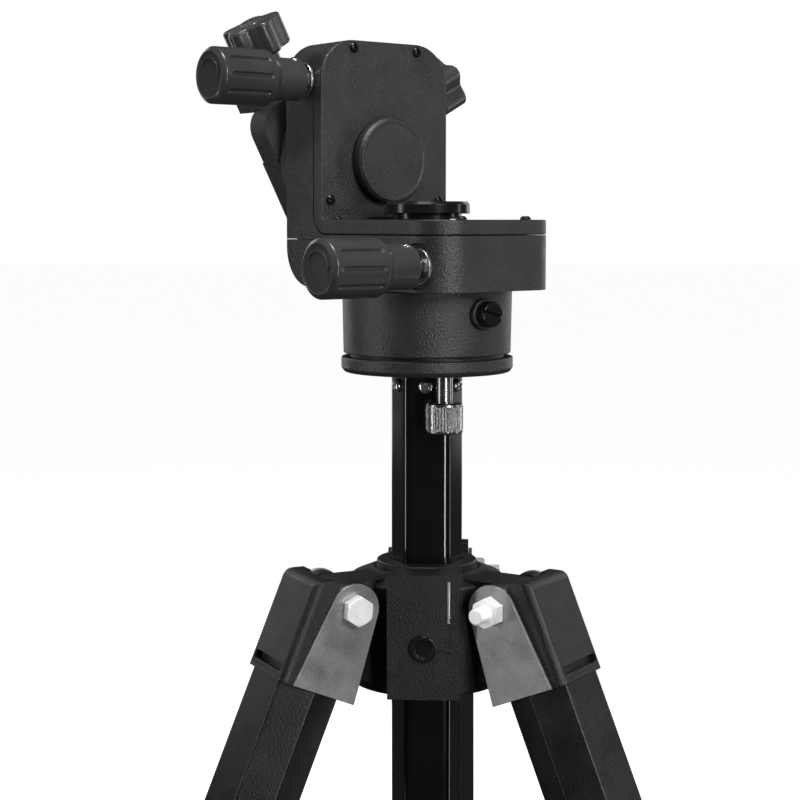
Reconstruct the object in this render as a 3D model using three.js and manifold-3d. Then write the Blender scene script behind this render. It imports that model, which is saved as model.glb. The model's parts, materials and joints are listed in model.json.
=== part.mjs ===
// Altitude-azimuth telescope mount with slow-motion knobs, on an extending column and a
// folding three-legged stand. Millimetres, +Z up.
//
// Heights are measured from the datum plane, a little above the lower cover of the head.
// The turning axis of the head is x = y = 0. The finished group is lifted at the end, so
// that the stand rests on z = 0 with the middle of its footprint at the origin.

import * as THREE from 'three';
import { mergeVertices } from 'three/addons/utils/BufferGeometryUtils.js';
import Module from 'manifold-3d';

const wasm = await Module();
wasm.setup();

const DEG = Math.PI / 180;
const GAP = 0.3;

// Stance
const DATUM_HEIGHT = 780;
const HEAD_TURN = 38 * DEG;
const SADDLE_TILT = 28 * DEG;
const STAND_TURN = -3 * DEG;
const LEG_SPLAY = 22.9 * DEG;
const LEG_NAMES = { left: -150, right: -30, rear: 90 };

// Head housings
const HEAD_HALF = 40;
const HOUSING_TOP = 79.8;
const CORNER_R = 20;
const COVER_FRONT_Y = 33.5;
const COVER_BACK_Y = 40.5;
const COVER_TOP_Z = -9.3;
const COVER_UNDER_Z = -16.5;
const COVER_HEEL_R = 10;
const HOUSING_BACK_Y = 64;
const BACK_BOSS = { r: 38, end: 72.4 };
const HOUSING_FRONT_Y = -55;
const PARTING_Z = -19;
const LOWER_BOTTOM_Z = -43;
const WALL = 4;

// Altitude axis, along y, and its worm, along x
const ALT_Z = 20.5;
const SHAFT_R = 12;
const ALT_WORM = { y: 48, z: 59.7 };
const ALT_WHEEL_R = 33.2;
const ALT_CAP = { r: 21.5, front: 26 };

// Azimuth axis, along z, and its worm, along x
const SPINDLE_R = 15;
const SPINDLE_TOP_R = 10;
const AZ_WORM = { y: -41, z: -31 };
const AZ_WHEEL_R = 34.8;
const AZ_CAP = { r: 21, top: -0.4, rim: -6.3 };
const WHEEL_WIDTH = 8;
const WORM_R = 5.6;
const WORM_SHAFT_R = 4;
const WORM = { end: -66, thread: -14, ridges: 7, pitch: 4, tail: 32 };
const BUSH_R = 6;
const KNOB_RECESS = { r: 11, floorX: -37 };

// Slow-motion knobs
const KNOB = { neckR: 10.5, neck: 17, shoulder: 22, gripR: 13.75, grip: 50, length: 53.5, ribs: 10 };
const KNOB_INNER_X = -42.6;

// Turning base
const DRUM = { r: 42, footR: 41.4, top: -43.3, bottom: -74.7, bore: 36, roof: 5 };
const RING = { r: 42.5, top: -76.5, neckR: 38, neckTop: -75, bottom: -84 };
const LOCK_SCREW = { z: -54, r: 6.25, face: 50.2, shankR: 3, tip: 31, bossR: 7.5, bossEnd: 44.5 };
const THUMB = { x: 8, y: -27, r: 9, top: -97, bottom: -112, shankR: 4 };

// Saddle, in its own frame: x along the telescope, z across the clamp, y away from the head
const SADDLE = { halfLength: 34.5, front: 73, seat: 88, back: 104, low: -38, high: 44 };
const JAW = { halfLength: 20, mouth: 18, seat: 22.3, outer: 33 };
const SEAT_PAD = { half: 17.5, height: 1.2 };
const CLAMP_WALL = { low: 42, high: 50, halfLength: 25 };
const CLAMP = { x: -2, y: 97, neck: 54.3, star: 65, end: 82 };
const CLUTCH = { y: 82, z: 3.5, hole: 20, neck: 60, star: 75, end: 92 };
const CLAMP_SCREW_R = 4;
const SCREW_ENTRY = 5.5;
const STAR = { r: 16.5, valley: 12.3, lobes: 5, neckR: 8 };

// Column, an elongated hexagon
const COLUMN = { halfWidth: 18, halfFlat: 10.75, halfDepth: 15.5, wall: 2.5, top: -84.3, length: 300 };

// Crown of the stand
const PIVOT_RADIUS = 50;
const PIVOT_Z = -195;
const CROWN = {
  collarTop: -178,
  collarR: 25,
  domeTop: -181.5,
  domeR: 27,
  shoulder: -186,
  bottom: -239,
  skirtR: 38,
  armHalf: 12.7,
  armR: 11.3,
};
const CROWN_FLAT_X = 36.6;
const CROWN_BLOCK = { halfWidth: 17.5, front: -42, top: -178.5 };
const COLUMN_SCREW = { z: -214, r: 6.5 };

// Legs, in a frame at the pivot: x outwards, y along the pivot bolt, z up the leg
const LEG = { halfWidth: 23, halfFlat: 15.5, halfDepth: 16.5, wall: 2, offset: 5.5 };
const LEG_HEAD = { half: 20, outer: 24.5, inner: -12, bottom: -43, crest: 14.5, slot: 13.2, boss: 12 };
const LEG_PLATE = { thick: 1.8, topR: 12.5, halfFoot: 17, bottom: -43 };
const UPPER_TUBE_END = -545;
const LOWER_TUBE = { top: -130, bottom: -605.7 };
const LEG_CLAMP = { top: -530, bottom: -575, screw: -561 };
const FOOT = { r: 21.5, top: -592, centre: -615.7, socket: -606 };
const BOLT = { r: 4, headR: 7.5, head: 5.3, nut: 6.5, tip: 8 };

// Finishes: colour, roughness, metalness
const FINISH = {
  casting: [0x2c2c2e, 0.5, 0.4],
  plastic: [0x2a2a2b, 0.65, 0.0],
  grip: [0x29292a, 0.45, 0.0],
  extrusion: [0x151516, 0.3, 0.6],
  leg: [0x38393a, 0.55, 0.3],
  stamped: [0x5d5e60, 0.45, 0.7],
  chrome: [0xc8c9cc, 0.18, 1.0],
  steel: [0x9b9da0, 0.35, 0.9],
  brass: [0xb08d4f, 0.35, 0.9],
  rubber: [0x1b1b1b, 0.85, 0.0],
};

// ---------------------------------------------------------------- solids

function signedVolume(position, index) {
  let sum = 0;
  const [a, b, c] = [new THREE.Vector3(), new THREE.Vector3(), new THREE.Vector3()];
  for (let i = 0; i < index.length; i += 3) {
    a.fromArray(position, 3 * index[i]);
    b.fromArray(position, 3 * index[i + 1]);
    c.fromArray(position, 3 * index[i + 2]);
    sum += a.dot(b.cross(c)) / 6;
  }
  return sum;
}

// A three.js geometry as a closed solid that can be joined and cut.
function solid(geometry) {
  const bare = geometry.clone();
  bare.deleteAttribute('normal');
  bare.deleteAttribute('uv');
  const merged = mergeVertices(bare, 1e-4);
  const position = merged.attributes.position.array;
  const index = [];
  const source = merged.index.array;
  for (let i = 0; i < source.length; i += 3) {
    const [a, b, c] = [source[i], source[i + 1], source[i + 2]];
    if (a !== b && b !== c && c !== a) {
      index.push(a, b, c);
    }
  }
  if (signedVolume(position, index) < 0) {
    index.reverse();
  }
  const mesh = new wasm.Mesh({
    numProp: 3,
    vertProperties: new Float32Array(position),
    triVerts: new Uint32Array(index),
  });
  return new wasm.Manifold(mesh);
}

function geometryOf(body) {
  const mesh = body.getMesh();
  const geometry = new THREE.BufferGeometry();
  geometry.setAttribute('position', new THREE.BufferAttribute(new Float32Array(mesh.vertProperties), 3));
  geometry.setIndex(new THREE.BufferAttribute(new Uint32Array(mesh.triVerts), 1));
  geometry.computeVertexNormals();
  return geometry;
}

const join = (first, ...others) => others.reduce((sum, other) => sum.add(other), first);
const cut = (first, ...others) => others.reduce((rest, other) => rest.subtract(other), first);

function block(x0, x1, y0, y1, z0, z1) {
  const geometry = new THREE.BoxGeometry(x1 - x0, y1 - y0, z1 - z0);
  return solid(geometry.translate((x0 + x1) / 2, (y0 + y1) / 2, (z0 + z1) / 2));
}

// Turns a geometry made about the z axis so that its z axis lies along x or y.
function alongAxis(geometry, axis) {
  if (axis === 'x') {
    geometry.rotateY(90 * DEG);
  }
  if (axis === 'y') {
    geometry.rotateX(-90 * DEG);
  }
  return geometry;
}

// A round bar about the z, x or y axis, from one place to another along it.
function rod(r, from, to, { axis = 'z', x = 0, y = 0, z = 0, segments = 24 } = {}) {
  const geometry = new THREE.CylinderGeometry(r, r, Math.abs(to - from), segments);
  geometry.rotateX(90 * DEG).translate(0, 0, (from + to) / 2);
  return solid(alongAxis(geometry, axis).translate(x, y, z));
}

// A turned shape: the profile is a list of [radius, height] that starts and ends on the axis.
function turned(profile, { axis = 'z', x = 0, y = 0, z = 0, segments = 24 } = {}) {
  const points = profile.map(([r, h]) => new THREE.Vector2(r, h));
  const geometry = new THREE.LatheGeometry(points, segments).rotateX(90 * DEG);
  return solid(alongAxis(geometry, axis).translate(x, y, z));
}

// An outline through corner points [x, y, radius], with each corner rounded to its radius.
function outline(corners) {
  const shape = new THREE.Shape();
  const count = corners.length;
  corners.forEach(([x, y, r = 0], i) => {
    const corner = new THREE.Vector2(x, y);
    const towards = ([toX, toY]) => new THREE.Vector2(toX, toY).sub(corner).normalize();
    const before = towards(corners[(i + count - 1) % count]);
    const after = towards(corners[(i + 1) % count]);
    const move = i === 0 ? 'moveTo' : 'lineTo';
    if (r === 0) {
      shape[move](x, y);
      return;
    }
    const half = Math.acos(before.dot(after)) / 2;
    const start = corner.clone().addScaledVector(before, r / Math.tan(half));
    const end = corner.clone().addScaledVector(after, r / Math.tan(half));
    const middle = before.clone().add(after).normalize();
    const centre = corner.clone().addScaledVector(middle, r / Math.sin(half));
    const clockwise = before.cross(after) > 0;
    shape[move](start.x, start.y);
    const from = Math.atan2(start.y - centre.y, start.x - centre.x);
    const to = Math.atan2(end.y - centre.y, end.x - centre.x);
    shape.absarc(centre.x, centre.y, r, from, to, clockwise);
  });
  shape.closePath();
  return shape;
}

const rectangle = (x0, x1, y0, y1, radii = [0, 0, 0, 0]) =>
  outline([[x0, y0, radii[0]], [x1, y0, radii[1]], [x1, y1, radii[2]], [x0, y1, radii[3]]]);

// An outline drawn in x and y, and thickened along z.
function prism(shape, from, to, curveSegments = 3) {
  const options = { depth: to - from, bevelEnabled: false, curveSegments };
  return new THREE.ExtrudeGeometry(shape, options).translate(0, 0, from);
}
const prismZ = (shape, from, to, segments) => solid(prism(shape, from, to, segments));

// An outline drawn in x and z, and thickened along y.
function prismY(shape, from, to, segments) {
  return solid(prism(shape, -to, -from, segments).rotateX(90 * DEG));
}

// An outline drawn in y and z, and thickened along x.
function prismX(shape, from, to, segments) {
  const turn = new THREE.Matrix4().makeBasis(
    new THREE.Vector3(0, 1, 0),
    new THREE.Vector3(0, 0, 1),
    new THREE.Vector3(1, 0, 0),
  );
  return solid(prism(shape, from, to, segments).applyMatrix4(turn));
}

// ---------------------------------------------------------------- scene graph

const root = new THREE.Group();
const head = new THREE.Group();
head.rotation.z = HEAD_TURN;
const saddle = new THREE.Group();
saddle.position.z = ALT_Z;
saddle.rotation.y = -SADDLE_TILT;
head.add(saddle);
const stand = new THREE.Group();
stand.rotation.z = STAND_TURN;
root.add(head, stand);

function part(name, body, finish, parent) {
  const [color, roughness, metalness] = FINISH[finish];
  const material = new THREE.MeshStandardMaterial({ color, roughness, metalness });
  const mesh = new THREE.Mesh(geometryOf(body), material);
  mesh.name = name;
  parent.add(mesh);
  return mesh;
}

// ---------------------------------------------------------------- head housings

function altitudeHousing() {
  const front = COVER_BACK_Y + GAP;
  const radii = [0, 0, CORNER_R, CORNER_R];
  const face = rectangle(-HEAD_HALF, HEAD_HALF, PARTING_Z + GAP / 2, HOUSING_TOP, radii);
  // Side outline with a hollow corner that the heel of the cover sits in.
  const heelY = COVER_BACK_Y - COVER_HEEL_R;
  const heelZ = COVER_UNDER_Z + COVER_HEEL_R;
  const side = new THREE.Shape();
  side.moveTo(front, HOUSING_TOP + 1);
  side.lineTo(front, heelZ);
  side.absarc(heelY, heelZ, COVER_HEEL_R + GAP, 0, -90 * DEG, true);
  side.lineTo(heelY, PARTING_Z);
  side.lineTo(HOUSING_BACK_Y, PARTING_Z);
  side.lineTo(HOUSING_BACK_Y, HOUSING_TOP + 1);
  side.closePath();
  const shell = prismX(side, -HEAD_HALF, HEAD_HALF).intersect(prismY(face, 0, HOUSING_BACK_Y, 4));
  // A round boss on the back carries the bearing of the shaft.
  const boss = rod(BACK_BOSS.r, HOUSING_BACK_Y - 1, BACK_BOSS.end, { axis: 'y', z: ALT_Z, segments: 40 });
  const inside = HEAD_HALF - WALL;
  const innerR = CORNER_R - WALL;
  const innerRadii = [2, 2, innerR, innerR];
  const hollow = rectangle(-inside, inside, PARTING_Z + WALL, HOUSING_TOP - WALL, innerRadii);
  const room = prismY(hollow, front - 1, HOUSING_BACK_Y - WALL);
  const shaftHole = rod(SHAFT_R + GAP, HOUSING_BACK_Y - WALL - 1, BACK_BOSS.end + 1, { axis: 'y', z: ALT_Z });
  const wormHole = rod(BUSH_R + GAP, -HEAD_HALF - 1, -inside + 1, { axis: 'x', ...ALT_WORM });
  return cut(join(shell, boss), room, shaftHole, wormHole);
}

function azimuthHousing() {
  const heelY = COVER_BACK_Y - COVER_HEEL_R;
  const plan = rectangle(
    -HEAD_HALF, HEAD_HALF, HOUSING_FRONT_Y, HOUSING_BACK_Y, [CORNER_R, CORNER_R, 0, 0],
  );
  const side = outline([
    [HOUSING_FRONT_Y - 1, LOWER_BOTTOM_Z],
    [HOUSING_BACK_Y, LOWER_BOTTOM_Z, CORNER_R],
    [HOUSING_BACK_Y, PARTING_Z - GAP / 2],
    [heelY - GAP, PARTING_Z - GAP / 2],
    [heelY - GAP, COVER_UNDER_Z - GAP],
    [HOUSING_FRONT_Y - 1, COVER_UNDER_Z - GAP],
  ]);
  const body = prismZ(plan, LOWER_BOTTOM_Z, COVER_UNDER_Z, 4)
    .intersect(prismX(side, -HEAD_HALF, HEAD_HALF, 4));
  const inside = HEAD_HALF - WALL;
  const floor = LOWER_BOTTOM_Z + WALL;
  const innerR = CORNER_R - WALL;
  const innerFront = HOUSING_FRONT_Y + WALL;
  const innerRadii = [innerR, innerR, 2, 2];
  const roof = PARTING_Z - 3;
  const hollow = prismZ(rectangle(-inside, inside, innerFront, inside + 1, innerRadii), floor, roof);
  const mouth = prismZ(rectangle(-inside, inside, innerFront, heelY - WALL, innerRadii), roof - 1, 0);
  const spindleHole = rod(SPINDLE_R + 2 * GAP, LOWER_BOTTOM_Z - 1, floor + 1);
  const recess = rod(KNOB_RECESS.r, -HEAD_HALF - 1, KNOB_RECESS.floorX, { axis: 'x', ...AZ_WORM });
  const wormHole = rod(BUSH_R + GAP, KNOB_RECESS.floorX - 1, innerR - inside, { axis: 'x', ...AZ_WORM });
  return cut(body, hollow, mouth, spindleHole, recess, wormHole);
}

function coverPlate() {
  const side = outline([
    [HOUSING_FRONT_Y - 1, COVER_UNDER_Z],
    [COVER_BACK_Y, COVER_UNDER_Z, COVER_HEEL_R],
    [COVER_BACK_Y, HOUSING_TOP + 1],
    [COVER_FRONT_Y, HOUSING_TOP + 1],
    [COVER_FRONT_Y, COVER_TOP_Z, 2],
    [HOUSING_FRONT_Y - 1, COVER_TOP_Z],
  ]);
  const radii = [0, 0, CORNER_R, CORNER_R];
  const upright = rectangle(-HEAD_HALF, HEAD_HALF, COVER_UNDER_Z - 1, HOUSING_TOP, radii);
  const plan = rectangle(
    -HEAD_HALF, HEAD_HALF, HOUSING_FRONT_Y, COVER_BACK_Y + 1, [CORNER_R, CORNER_R, 0, 0],
  );
  const shaftHole = rod(SHAFT_R + GAP, 20, 50, { axis: 'y', z: ALT_Z });
  const spindleHole = rod(SPINDLE_TOP_R + GAP, -30, 0);
  const plate = prismX(side, -HEAD_HALF, HEAD_HALF)
    .intersect(prismY(upright, HOUSING_FRONT_Y, COVER_BACK_Y + 1, 4))
    .intersect(prismZ(plan, COVER_UNDER_Z - 1, HOUSING_TOP + 1, 4));
  return cut(plate, shaftHole, spindleHole);
}

part('altitude_housing', altitudeHousing(), 'casting', head);
part('azimuth_housing', azimuthHousing(), 'casting', head);
part('cover_plate', coverPlate(), 'casting', head);

// ---------------------------------------------------------------- worm drives

// A worm wheel about the z axis: a disc with a hollow rim, on a wider hub.
function wormWheel(r, bore, middle, options) {
  const half = WHEEL_WIDTH / 2;
  const profile = [
    [bore, -half], [r, -half], [r - 1, 0], [r, half], [bore + 5, half], [bore, half + 2], [bore, -half],
  ];
  return turned(profile.map(([radius, h]) => [radius, h + middle]), { segments: 32, ...options });
}

// A worm on its shaft along x: the shaft runs out through the left wall into the knob.
function worm({ y, z }) {
  const { end, thread, ridges, pitch, tail } = WORM;
  const profile = [[0, end], [WORM_SHAFT_R, end], [WORM_SHAFT_R, thread]];
  for (let ridge = 0; ridge < ridges; ridge += 1) {
    const start = thread + ridge * pitch;
    profile.push([WORM_R, start + 0.4 * pitch], [WORM_R - 1.4, start + 0.85 * pitch]);
  }
  profile.push([WORM_SHAFT_R, thread + ridges * pitch], [WORM_SHAFT_R, tail], [0, tail]);
  return turned(profile, { axis: 'x', y, z, segments: 12 });
}

// A flanged bush in the left wall, round the worm shaft.
function wormBush({ y, z }, outerX, flangeR, inner) {
  const bore = WORM_SHAFT_R + GAP;
  const profile = [
    [bore, outerX], [flangeR, outerX], [flangeR, outerX + 1.5], [BUSH_R, outerX + 1.5], [BUSH_R, inner],
    [bore, inner], [bore, outerX],
  ];
  return turned(profile, { axis: 'x', y, z, segments: 16 });
}

// A ribbed knob along -x: narrow neck, sloping shoulder, grooved grip and a low domed end.
function slowMotionKnob({ y, z }) {
  const profile = [
    [0, 0], [KNOB.neckR, 0], [KNOB.neckR, KNOB.neck], [KNOB.gripR, KNOB.shoulder],
    [KNOB.gripR, KNOB.grip], [KNOB.gripR - 1.6, KNOB.length - 1], [0, KNOB.length],
  ];
  const body = turned(profile, { axis: 'x', segments: 20 });
  const grooves = [];
  for (let rib = 0; rib < KNOB.ribs; rib += 1) {
    const groove = new THREE.BoxGeometry(KNOB.grip - KNOB.shoulder - 4, 1.8, 2.2);
    groove.translate((KNOB.grip + KNOB.shoulder + 1) / 2, 0, KNOB.gripR);
    grooves.push(solid(groove.rotateX((rib / KNOB.ribs) * 2 * Math.PI)));
  }
  const bore = rod(WORM_SHAFT_R + GAP, -1, 24, { axis: 'x' });
  const knob = geometryOf(cut(body, ...grooves, bore));
  return solid(knob.rotateZ(Math.PI).translate(KNOB_INNER_X, y, z));
}

function altitudeShaft() {
  return rod(SHAFT_R, COVER_FRONT_Y, SADDLE.front - GAP, { axis: 'y' });
}

function altitudeCap() {
  const back = COVER_FRONT_Y - GAP;
  const { r, front } = ALT_CAP;
  const profile = [[0, front], [r - 1.2, front], [r, front + 1.2], [r, back], [0, back]];
  return turned(profile, { axis: 'y', segments: 32 });
}

function azimuthCap() {
  const { r, top, rim } = AZ_CAP;
  const foot = COVER_TOP_Z + GAP;
  const neck = r - 4;
  const profile = [[0, foot], [neck, foot], [neck, rim], [r, rim], [r, top - 1.6], [r - 1.6, top], [0, top]];
  return turned(profile, { segments: 32 });
}

function azimuthSpindle() {
  const profile = [
    [0, RING.bottom], [SPINDLE_R, RING.bottom], [SPINDLE_R, -24], [SPINDLE_TOP_R, -24],
    [SPINDLE_TOP_R, COVER_TOP_Z], [0, COVER_TOP_Z],
  ];
  return turned(profile);
}

part('altitude_shaft', altitudeShaft(), 'steel', saddle);
part('altitude_cap', altitudeCap(), 'casting', saddle);
const altitudeWheel = wormWheel(ALT_WHEEL_R, SHAFT_R + GAP, ALT_WORM.y, { axis: 'y' });
part('altitude_worm_wheel', altitudeWheel, 'brass', saddle);
part('altitude_worm', worm(ALT_WORM), 'steel', head);
part('altitude_knob', slowMotionKnob(ALT_WORM), 'grip', head);
part('altitude_worm_bush', wormBush(ALT_WORM, -HEAD_HALF - GAP - 1.5, 9, -35), 'brass', head);

part('azimuth_spindle', azimuthSpindle(), 'steel', root);
part('azimuth_cap', azimuthCap(), 'casting', root);
part('azimuth_worm_wheel', wormWheel(AZ_WHEEL_R, SPINDLE_R + GAP, AZ_WORM.z, {}), 'brass', root);
part('azimuth_worm', worm(AZ_WORM), 'steel', head);
part('azimuth_knob', slowMotionKnob(AZ_WORM), 'grip', head);
part('azimuth_worm_bush', wormBush(AZ_WORM, -38.8, 8.5, -34), 'brass', head);

// ---------------------------------------------------------------- turning base

function baseDrum() {
  const { r, footR, top, bottom, bore, roof } = DRUM;
  const hole = SPINDLE_R + 2 * GAP;
  const profile = [
    [hole, top], [r, top], [footR, bottom], [bore, bottom], [bore, top - roof], [hole, top - roof],
    [hole, top],
  ];
  const shell = turned(profile, { segments: 40 });
  const { z, bossR, bossEnd, shankR } = LOCK_SCREW;
  const boss = rod(bossR, -bossEnd, -r + 4, { axis: 'y', z });
  const screwHole = rod(shankR + GAP, -bossEnd - 1, -bore + 1, { axis: 'y', z, segments: 16 });
  return cut(join(shell, boss), screwHole);
}

// The lock screw faces the front of the head, with a coin slot across its round top.
function azimuthLockScrew() {
  const { r, z, face, shankR, tip, bossEnd } = LOCK_SCREW;
  const under = -bossEnd - GAP;
  const profile = [
    [0, -tip], [shankR, -tip], [shankR, under], [r, under], [r, 0.8 - face], [r - 0.8, -face], [0, -face],
  ];
  const screw = turned(profile, { axis: 'y', segments: 24 });
  const slot = new THREE.BoxGeometry(2 * r + 2, 4, 1.8).translate(0, -face, 0).rotateY(16 * DEG);
  const body = geometryOf(screw.subtract(solid(slot)));
  return solid(body.translate(0, 0, z));
}

function baseRing() {
  const { r, top, neckR, neckTop, bottom } = RING;
  const hole = SPINDLE_R + GAP;
  const profile = [
    [hole, bottom], [r - 2, bottom], [r, bottom + 2], [r, top], [neckR, top], [neckR, neckTop],
    [hole, neckTop], [hole, bottom],
  ];
  const tapped = rod(THUMB.shankR + GAP, bottom - 1, bottom + 6, { x: THUMB.x, y: THUMB.y, segments: 16 });
  return turned(profile, { segments: 40 }).subtract(tapped);
}

function thumbscrew() {
  const { r, top, bottom, shankR } = THUMB;
  const tip = RING.bottom + 5.5;
  const profile = [
    [0, bottom], [r - 1, bottom], [r, bottom + 1], [r, top - 1], [r - 1, top], [shankR, top], [shankR, tip],
    [0, tip],
  ];
  return turned(profile, { x: THUMB.x, y: THUMB.y, segments: 24 });
}

part('base_drum', baseDrum(), 'casting', head);
part('azimuth_lock_screw', azimuthLockScrew(), 'casting', head);
part('base_ring', baseRing(), 'casting', root);
part('head_thumbscrew', thumbscrew(), 'chrome', root);

// ---------------------------------------------------------------- saddle

// A knob with rounded lobes, thickened along z from one place to another.
function starPrism(from, to, scale = 1) {
  const { r, valley, lobes } = STAR;
  const steps = lobes * 6;
  const middle = (r + valley) / 2;
  const swing = (r - valley) / 2;
  const shape = new THREE.Shape();
  for (let i = 0; i < steps; i += 1) {
    const angle = (i / steps) * 2 * Math.PI;
    const radius = (middle + swing * Math.cos(lobes * angle)) * scale;
    shape[i === 0 ? 'moveTo' : 'lineTo'](radius * Math.cos(angle), radius * Math.sin(angle));
  }
  shape.closePath();
  return prism(shape, from, to);
}

function saddleBody() {
  const { halfLength, front, seat, back, low, high } = SADDLE;
  const face = rectangle(-halfLength, halfLength, low, high, [12, 12, 12, 12]);
  // The middle of the plate stands up a little, so that a bar rests on the pad alone.
  const floor = seat - SEAT_PAD.height;
  const plate = prismY(face, front, floor);
  const pad = block(-halfLength, halfLength, floor - 1, seat, -SEAT_PAD.half, SEAT_PAD.half);
  const fixedJaw = prismX(
    outline([
      [floor - 1, low + 4], [back, low + 4], [back, -JAW.mouth], [seat, -JAW.seat], [floor - 1, -JAW.seat],
    ]),
    -JAW.halfLength, JAW.halfLength,
  );
  const wall = block(
    -CLAMP_WALL.halfLength, CLAMP_WALL.halfLength, front + 9, back, CLAMP_WALL.low, CLAMP_WALL.high,
  );
  const [clampX, clampY] = [CLAMP.x, CLAMP.y];
  const holeR = CLAMP_SCREW_R + GAP;
  const { low: wallLow, high: wallHigh } = CLAMP_WALL;
  const screwHole = rod(holeR, wallLow - 1, wallHigh + 1, { x: clampX, y: clampY, segments: 16 });
  const clutchPlace = { axis: 'x', y: CLUTCH.y, z: CLUTCH.z, segments: 16 };
  const clutchHole = rod(holeR, CLUTCH.hole, halfLength + 1, clutchPlace);
  return cut(join(plate, pad, fixedJaw, wall), screwHole, clutchHole);
}

function movingJaw() {
  const { seat, back } = SADDLE;
  const under = seat - SEAT_PAD.height + GAP;
  const shape = outline([
    [under, JAW.seat], [seat, JAW.seat], [back, JAW.mouth], [back, JAW.outer], [under, JAW.outer],
  ]);
  return prismX(shape, -JAW.halfLength, JAW.halfLength);
}

// A screw and its star knob about z: the screw's end is blind inside the knob.
function starKnob(neck, star, end) {
  const collar = rod(STAR.neckR, neck, star + 1);
  const bore = rod(CLAMP_SCREW_R + GAP, neck - 1, star + SCREW_ENTRY + 0.5, { segments: 16 });
  return join(solid(starPrism(star, end)), collar).subtract(bore);
}

const clampKnob = geometryOf(starKnob(CLAMP.neck, CLAMP.star, CLAMP.end));
clampKnob.rotateZ(-95 * DEG).translate(CLAMP.x, CLAMP.y, 0);
const clutchKnob = geometryOf(starKnob(CLUTCH.neck, CLUTCH.star, CLUTCH.end));
clutchKnob.rotateZ(10 * DEG).rotateY(90 * DEG).translate(0, CLUTCH.y, CLUTCH.z);

function clampScrew() {
  const place = { x: CLAMP.x, y: CLAMP.y, segments: 16 };
  return rod(CLAMP_SCREW_R, JAW.outer + GAP, CLAMP.star + SCREW_ENTRY, place);
}

function clutchScrew() {
  const place = { axis: 'x', y: CLUTCH.y, z: CLUTCH.z, segments: 16 };
  return rod(CLAMP_SCREW_R, CLUTCH.hole + 0.5, CLUTCH.star + SCREW_ENTRY, place);
}

part('saddle_body', saddleBody(), 'casting', saddle);
part('saddle_moving_jaw', movingJaw(), 'casting', saddle);
part('saddle_clamp_screw', clampScrew(), 'steel', saddle);
part('saddle_clamp_knob', solid(clampKnob), 'grip', saddle);
part('altitude_clutch_screw', clutchScrew(), 'steel', saddle);
part('altitude_clutch_knob', solid(clutchKnob), 'grip', saddle);

// ---------------------------------------------------------------- column

// An elongated hexagon, drawn inwards by an inset, with its flats facing front and back.
function hexagon({ halfWidth, halfFlat, halfDepth }, inset = 0, r = 0) {
  const slope = new THREE.Vector2(halfDepth, halfWidth - halfFlat).normalize();
  const w = halfWidth - inset / slope.x;
  const d = halfDepth - inset;
  const f = w - (d * slope.y) / slope.x;
  return outline([[w, 0, r], [f, d, r], [-f, d, r], [-w, 0, r], [-f, -d, r], [f, -d, r]]);
}

function tube(section, wall, from, to, r) {
  const inner = prismZ(hexagon(section, wall), from - 1, to + 1);
  return prismZ(hexagon(section, 0, r), from, to, 1).subtract(inner);
}

const columnBottom = COLUMN.top - COLUMN.length;
const columnPlug = prismZ(hexagon(COLUMN, COLUMN.wall + GAP), columnBottom - 1, columnBottom + 14);
const columnCap = prismZ(hexagon(COLUMN, 0, 2), columnBottom - 6, columnBottom - GAP, 1);

part('column', tube(COLUMN, COLUMN.wall, columnBottom, COLUMN.top, 1.6), 'extrusion', root);
part('column_end_cap', join(columnCap, columnPlug), 'plastic', root);

// ---------------------------------------------------------------- crown of the stand

// Runs a function once for each leg, with a group that faces outwards along that leg.
function forEachLeg(parent, make) {
  for (const [name, degrees] of Object.entries(LEG_NAMES)) {
    const spoke = new THREE.Group();
    spoke.rotation.z = degrees * DEG;
    parent.add(spoke);
    make(name, spoke);
  }
}

const turnedAbout = (geometry, angle) => solid(geometry.rotateZ(angle));

function crown() {
  const { collarTop, collarR, domeTop, domeR, shoulder, bottom, skirtR, armHalf, armR } = CROWN;
  let body = turned([
    [0, bottom], [skirtR, bottom], [skirtR, shoulder], [domeR, domeTop], [collarR, domeTop],
    [collarR, collarTop], [0, collarTop],
  ], { segments: 30 });
  for (const degrees of Object.values(LEG_NAMES)) {
    const angle = degrees * DEG;
    const arm = new THREE.BoxGeometry(PIVOT_RADIUS, 2 * armHalf, 2 * armR);
    arm.translate(PIVOT_RADIUS / 2, 0, PIVOT_Z);
    const eye = new THREE.CylinderGeometry(armR, armR, 2 * armHalf, 16);
    eye.translate(PIVOT_RADIUS, 0, PIVOT_Z);
    const boltHole = new THREE.CylinderGeometry(BOLT.r + GAP, BOLT.r + GAP, 60, 12);
    boltHole.translate(PIVOT_RADIUS, 0, PIVOT_Z);
    const flat = new THREE.BoxGeometry(40, 50, 80).translate(CROWN_FLAT_X + 20, 0, PIVOT_Z);
    body = cut(body, turnedAbout(flat, angle));
    body = join(body, turnedAbout(arm, angle), turnedAbout(eye, angle));
    body = cut(body, turnedAbout(boltHole, angle));
  }
  const { halfWidth, front, top } = CROWN_BLOCK;
  const clampBlock = block(-halfWidth, halfWidth, front, -20, bottom, top);
  const screwHole = rod(4 + GAP, front - 1, 0, { axis: 'y', z: COLUMN_SCREW.z, segments: 16 });
  const columnHole = prismZ(hexagon(COLUMN, -0.5), bottom - 1, collarTop + 1);
  const turnBack = geometryOf(columnHole).rotateZ(-STAND_TURN);
  return cut(join(body, clampBlock), screwHole, solid(turnBack));
}

function columnScrew() {
  const { z, r } = COLUMN_SCREW;
  const face = CROWN_BLOCK.front - GAP;
  const tip = -COLUMN.halfDepth - 0.8;
  const end = face - 2;
  const profile = [[0, tip], [4, tip], [4, face], [r, face], [r, end + 0.6], [r - 0.6, end], [0, end]];
  return turned(profile, { axis: 'y', z, segments: 20 });
}

part('tripod_crown', crown(), 'plastic', stand);
part('column_clamp_screw', columnScrew(), 'steel', stand);

// ---------------------------------------------------------------- legs

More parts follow.
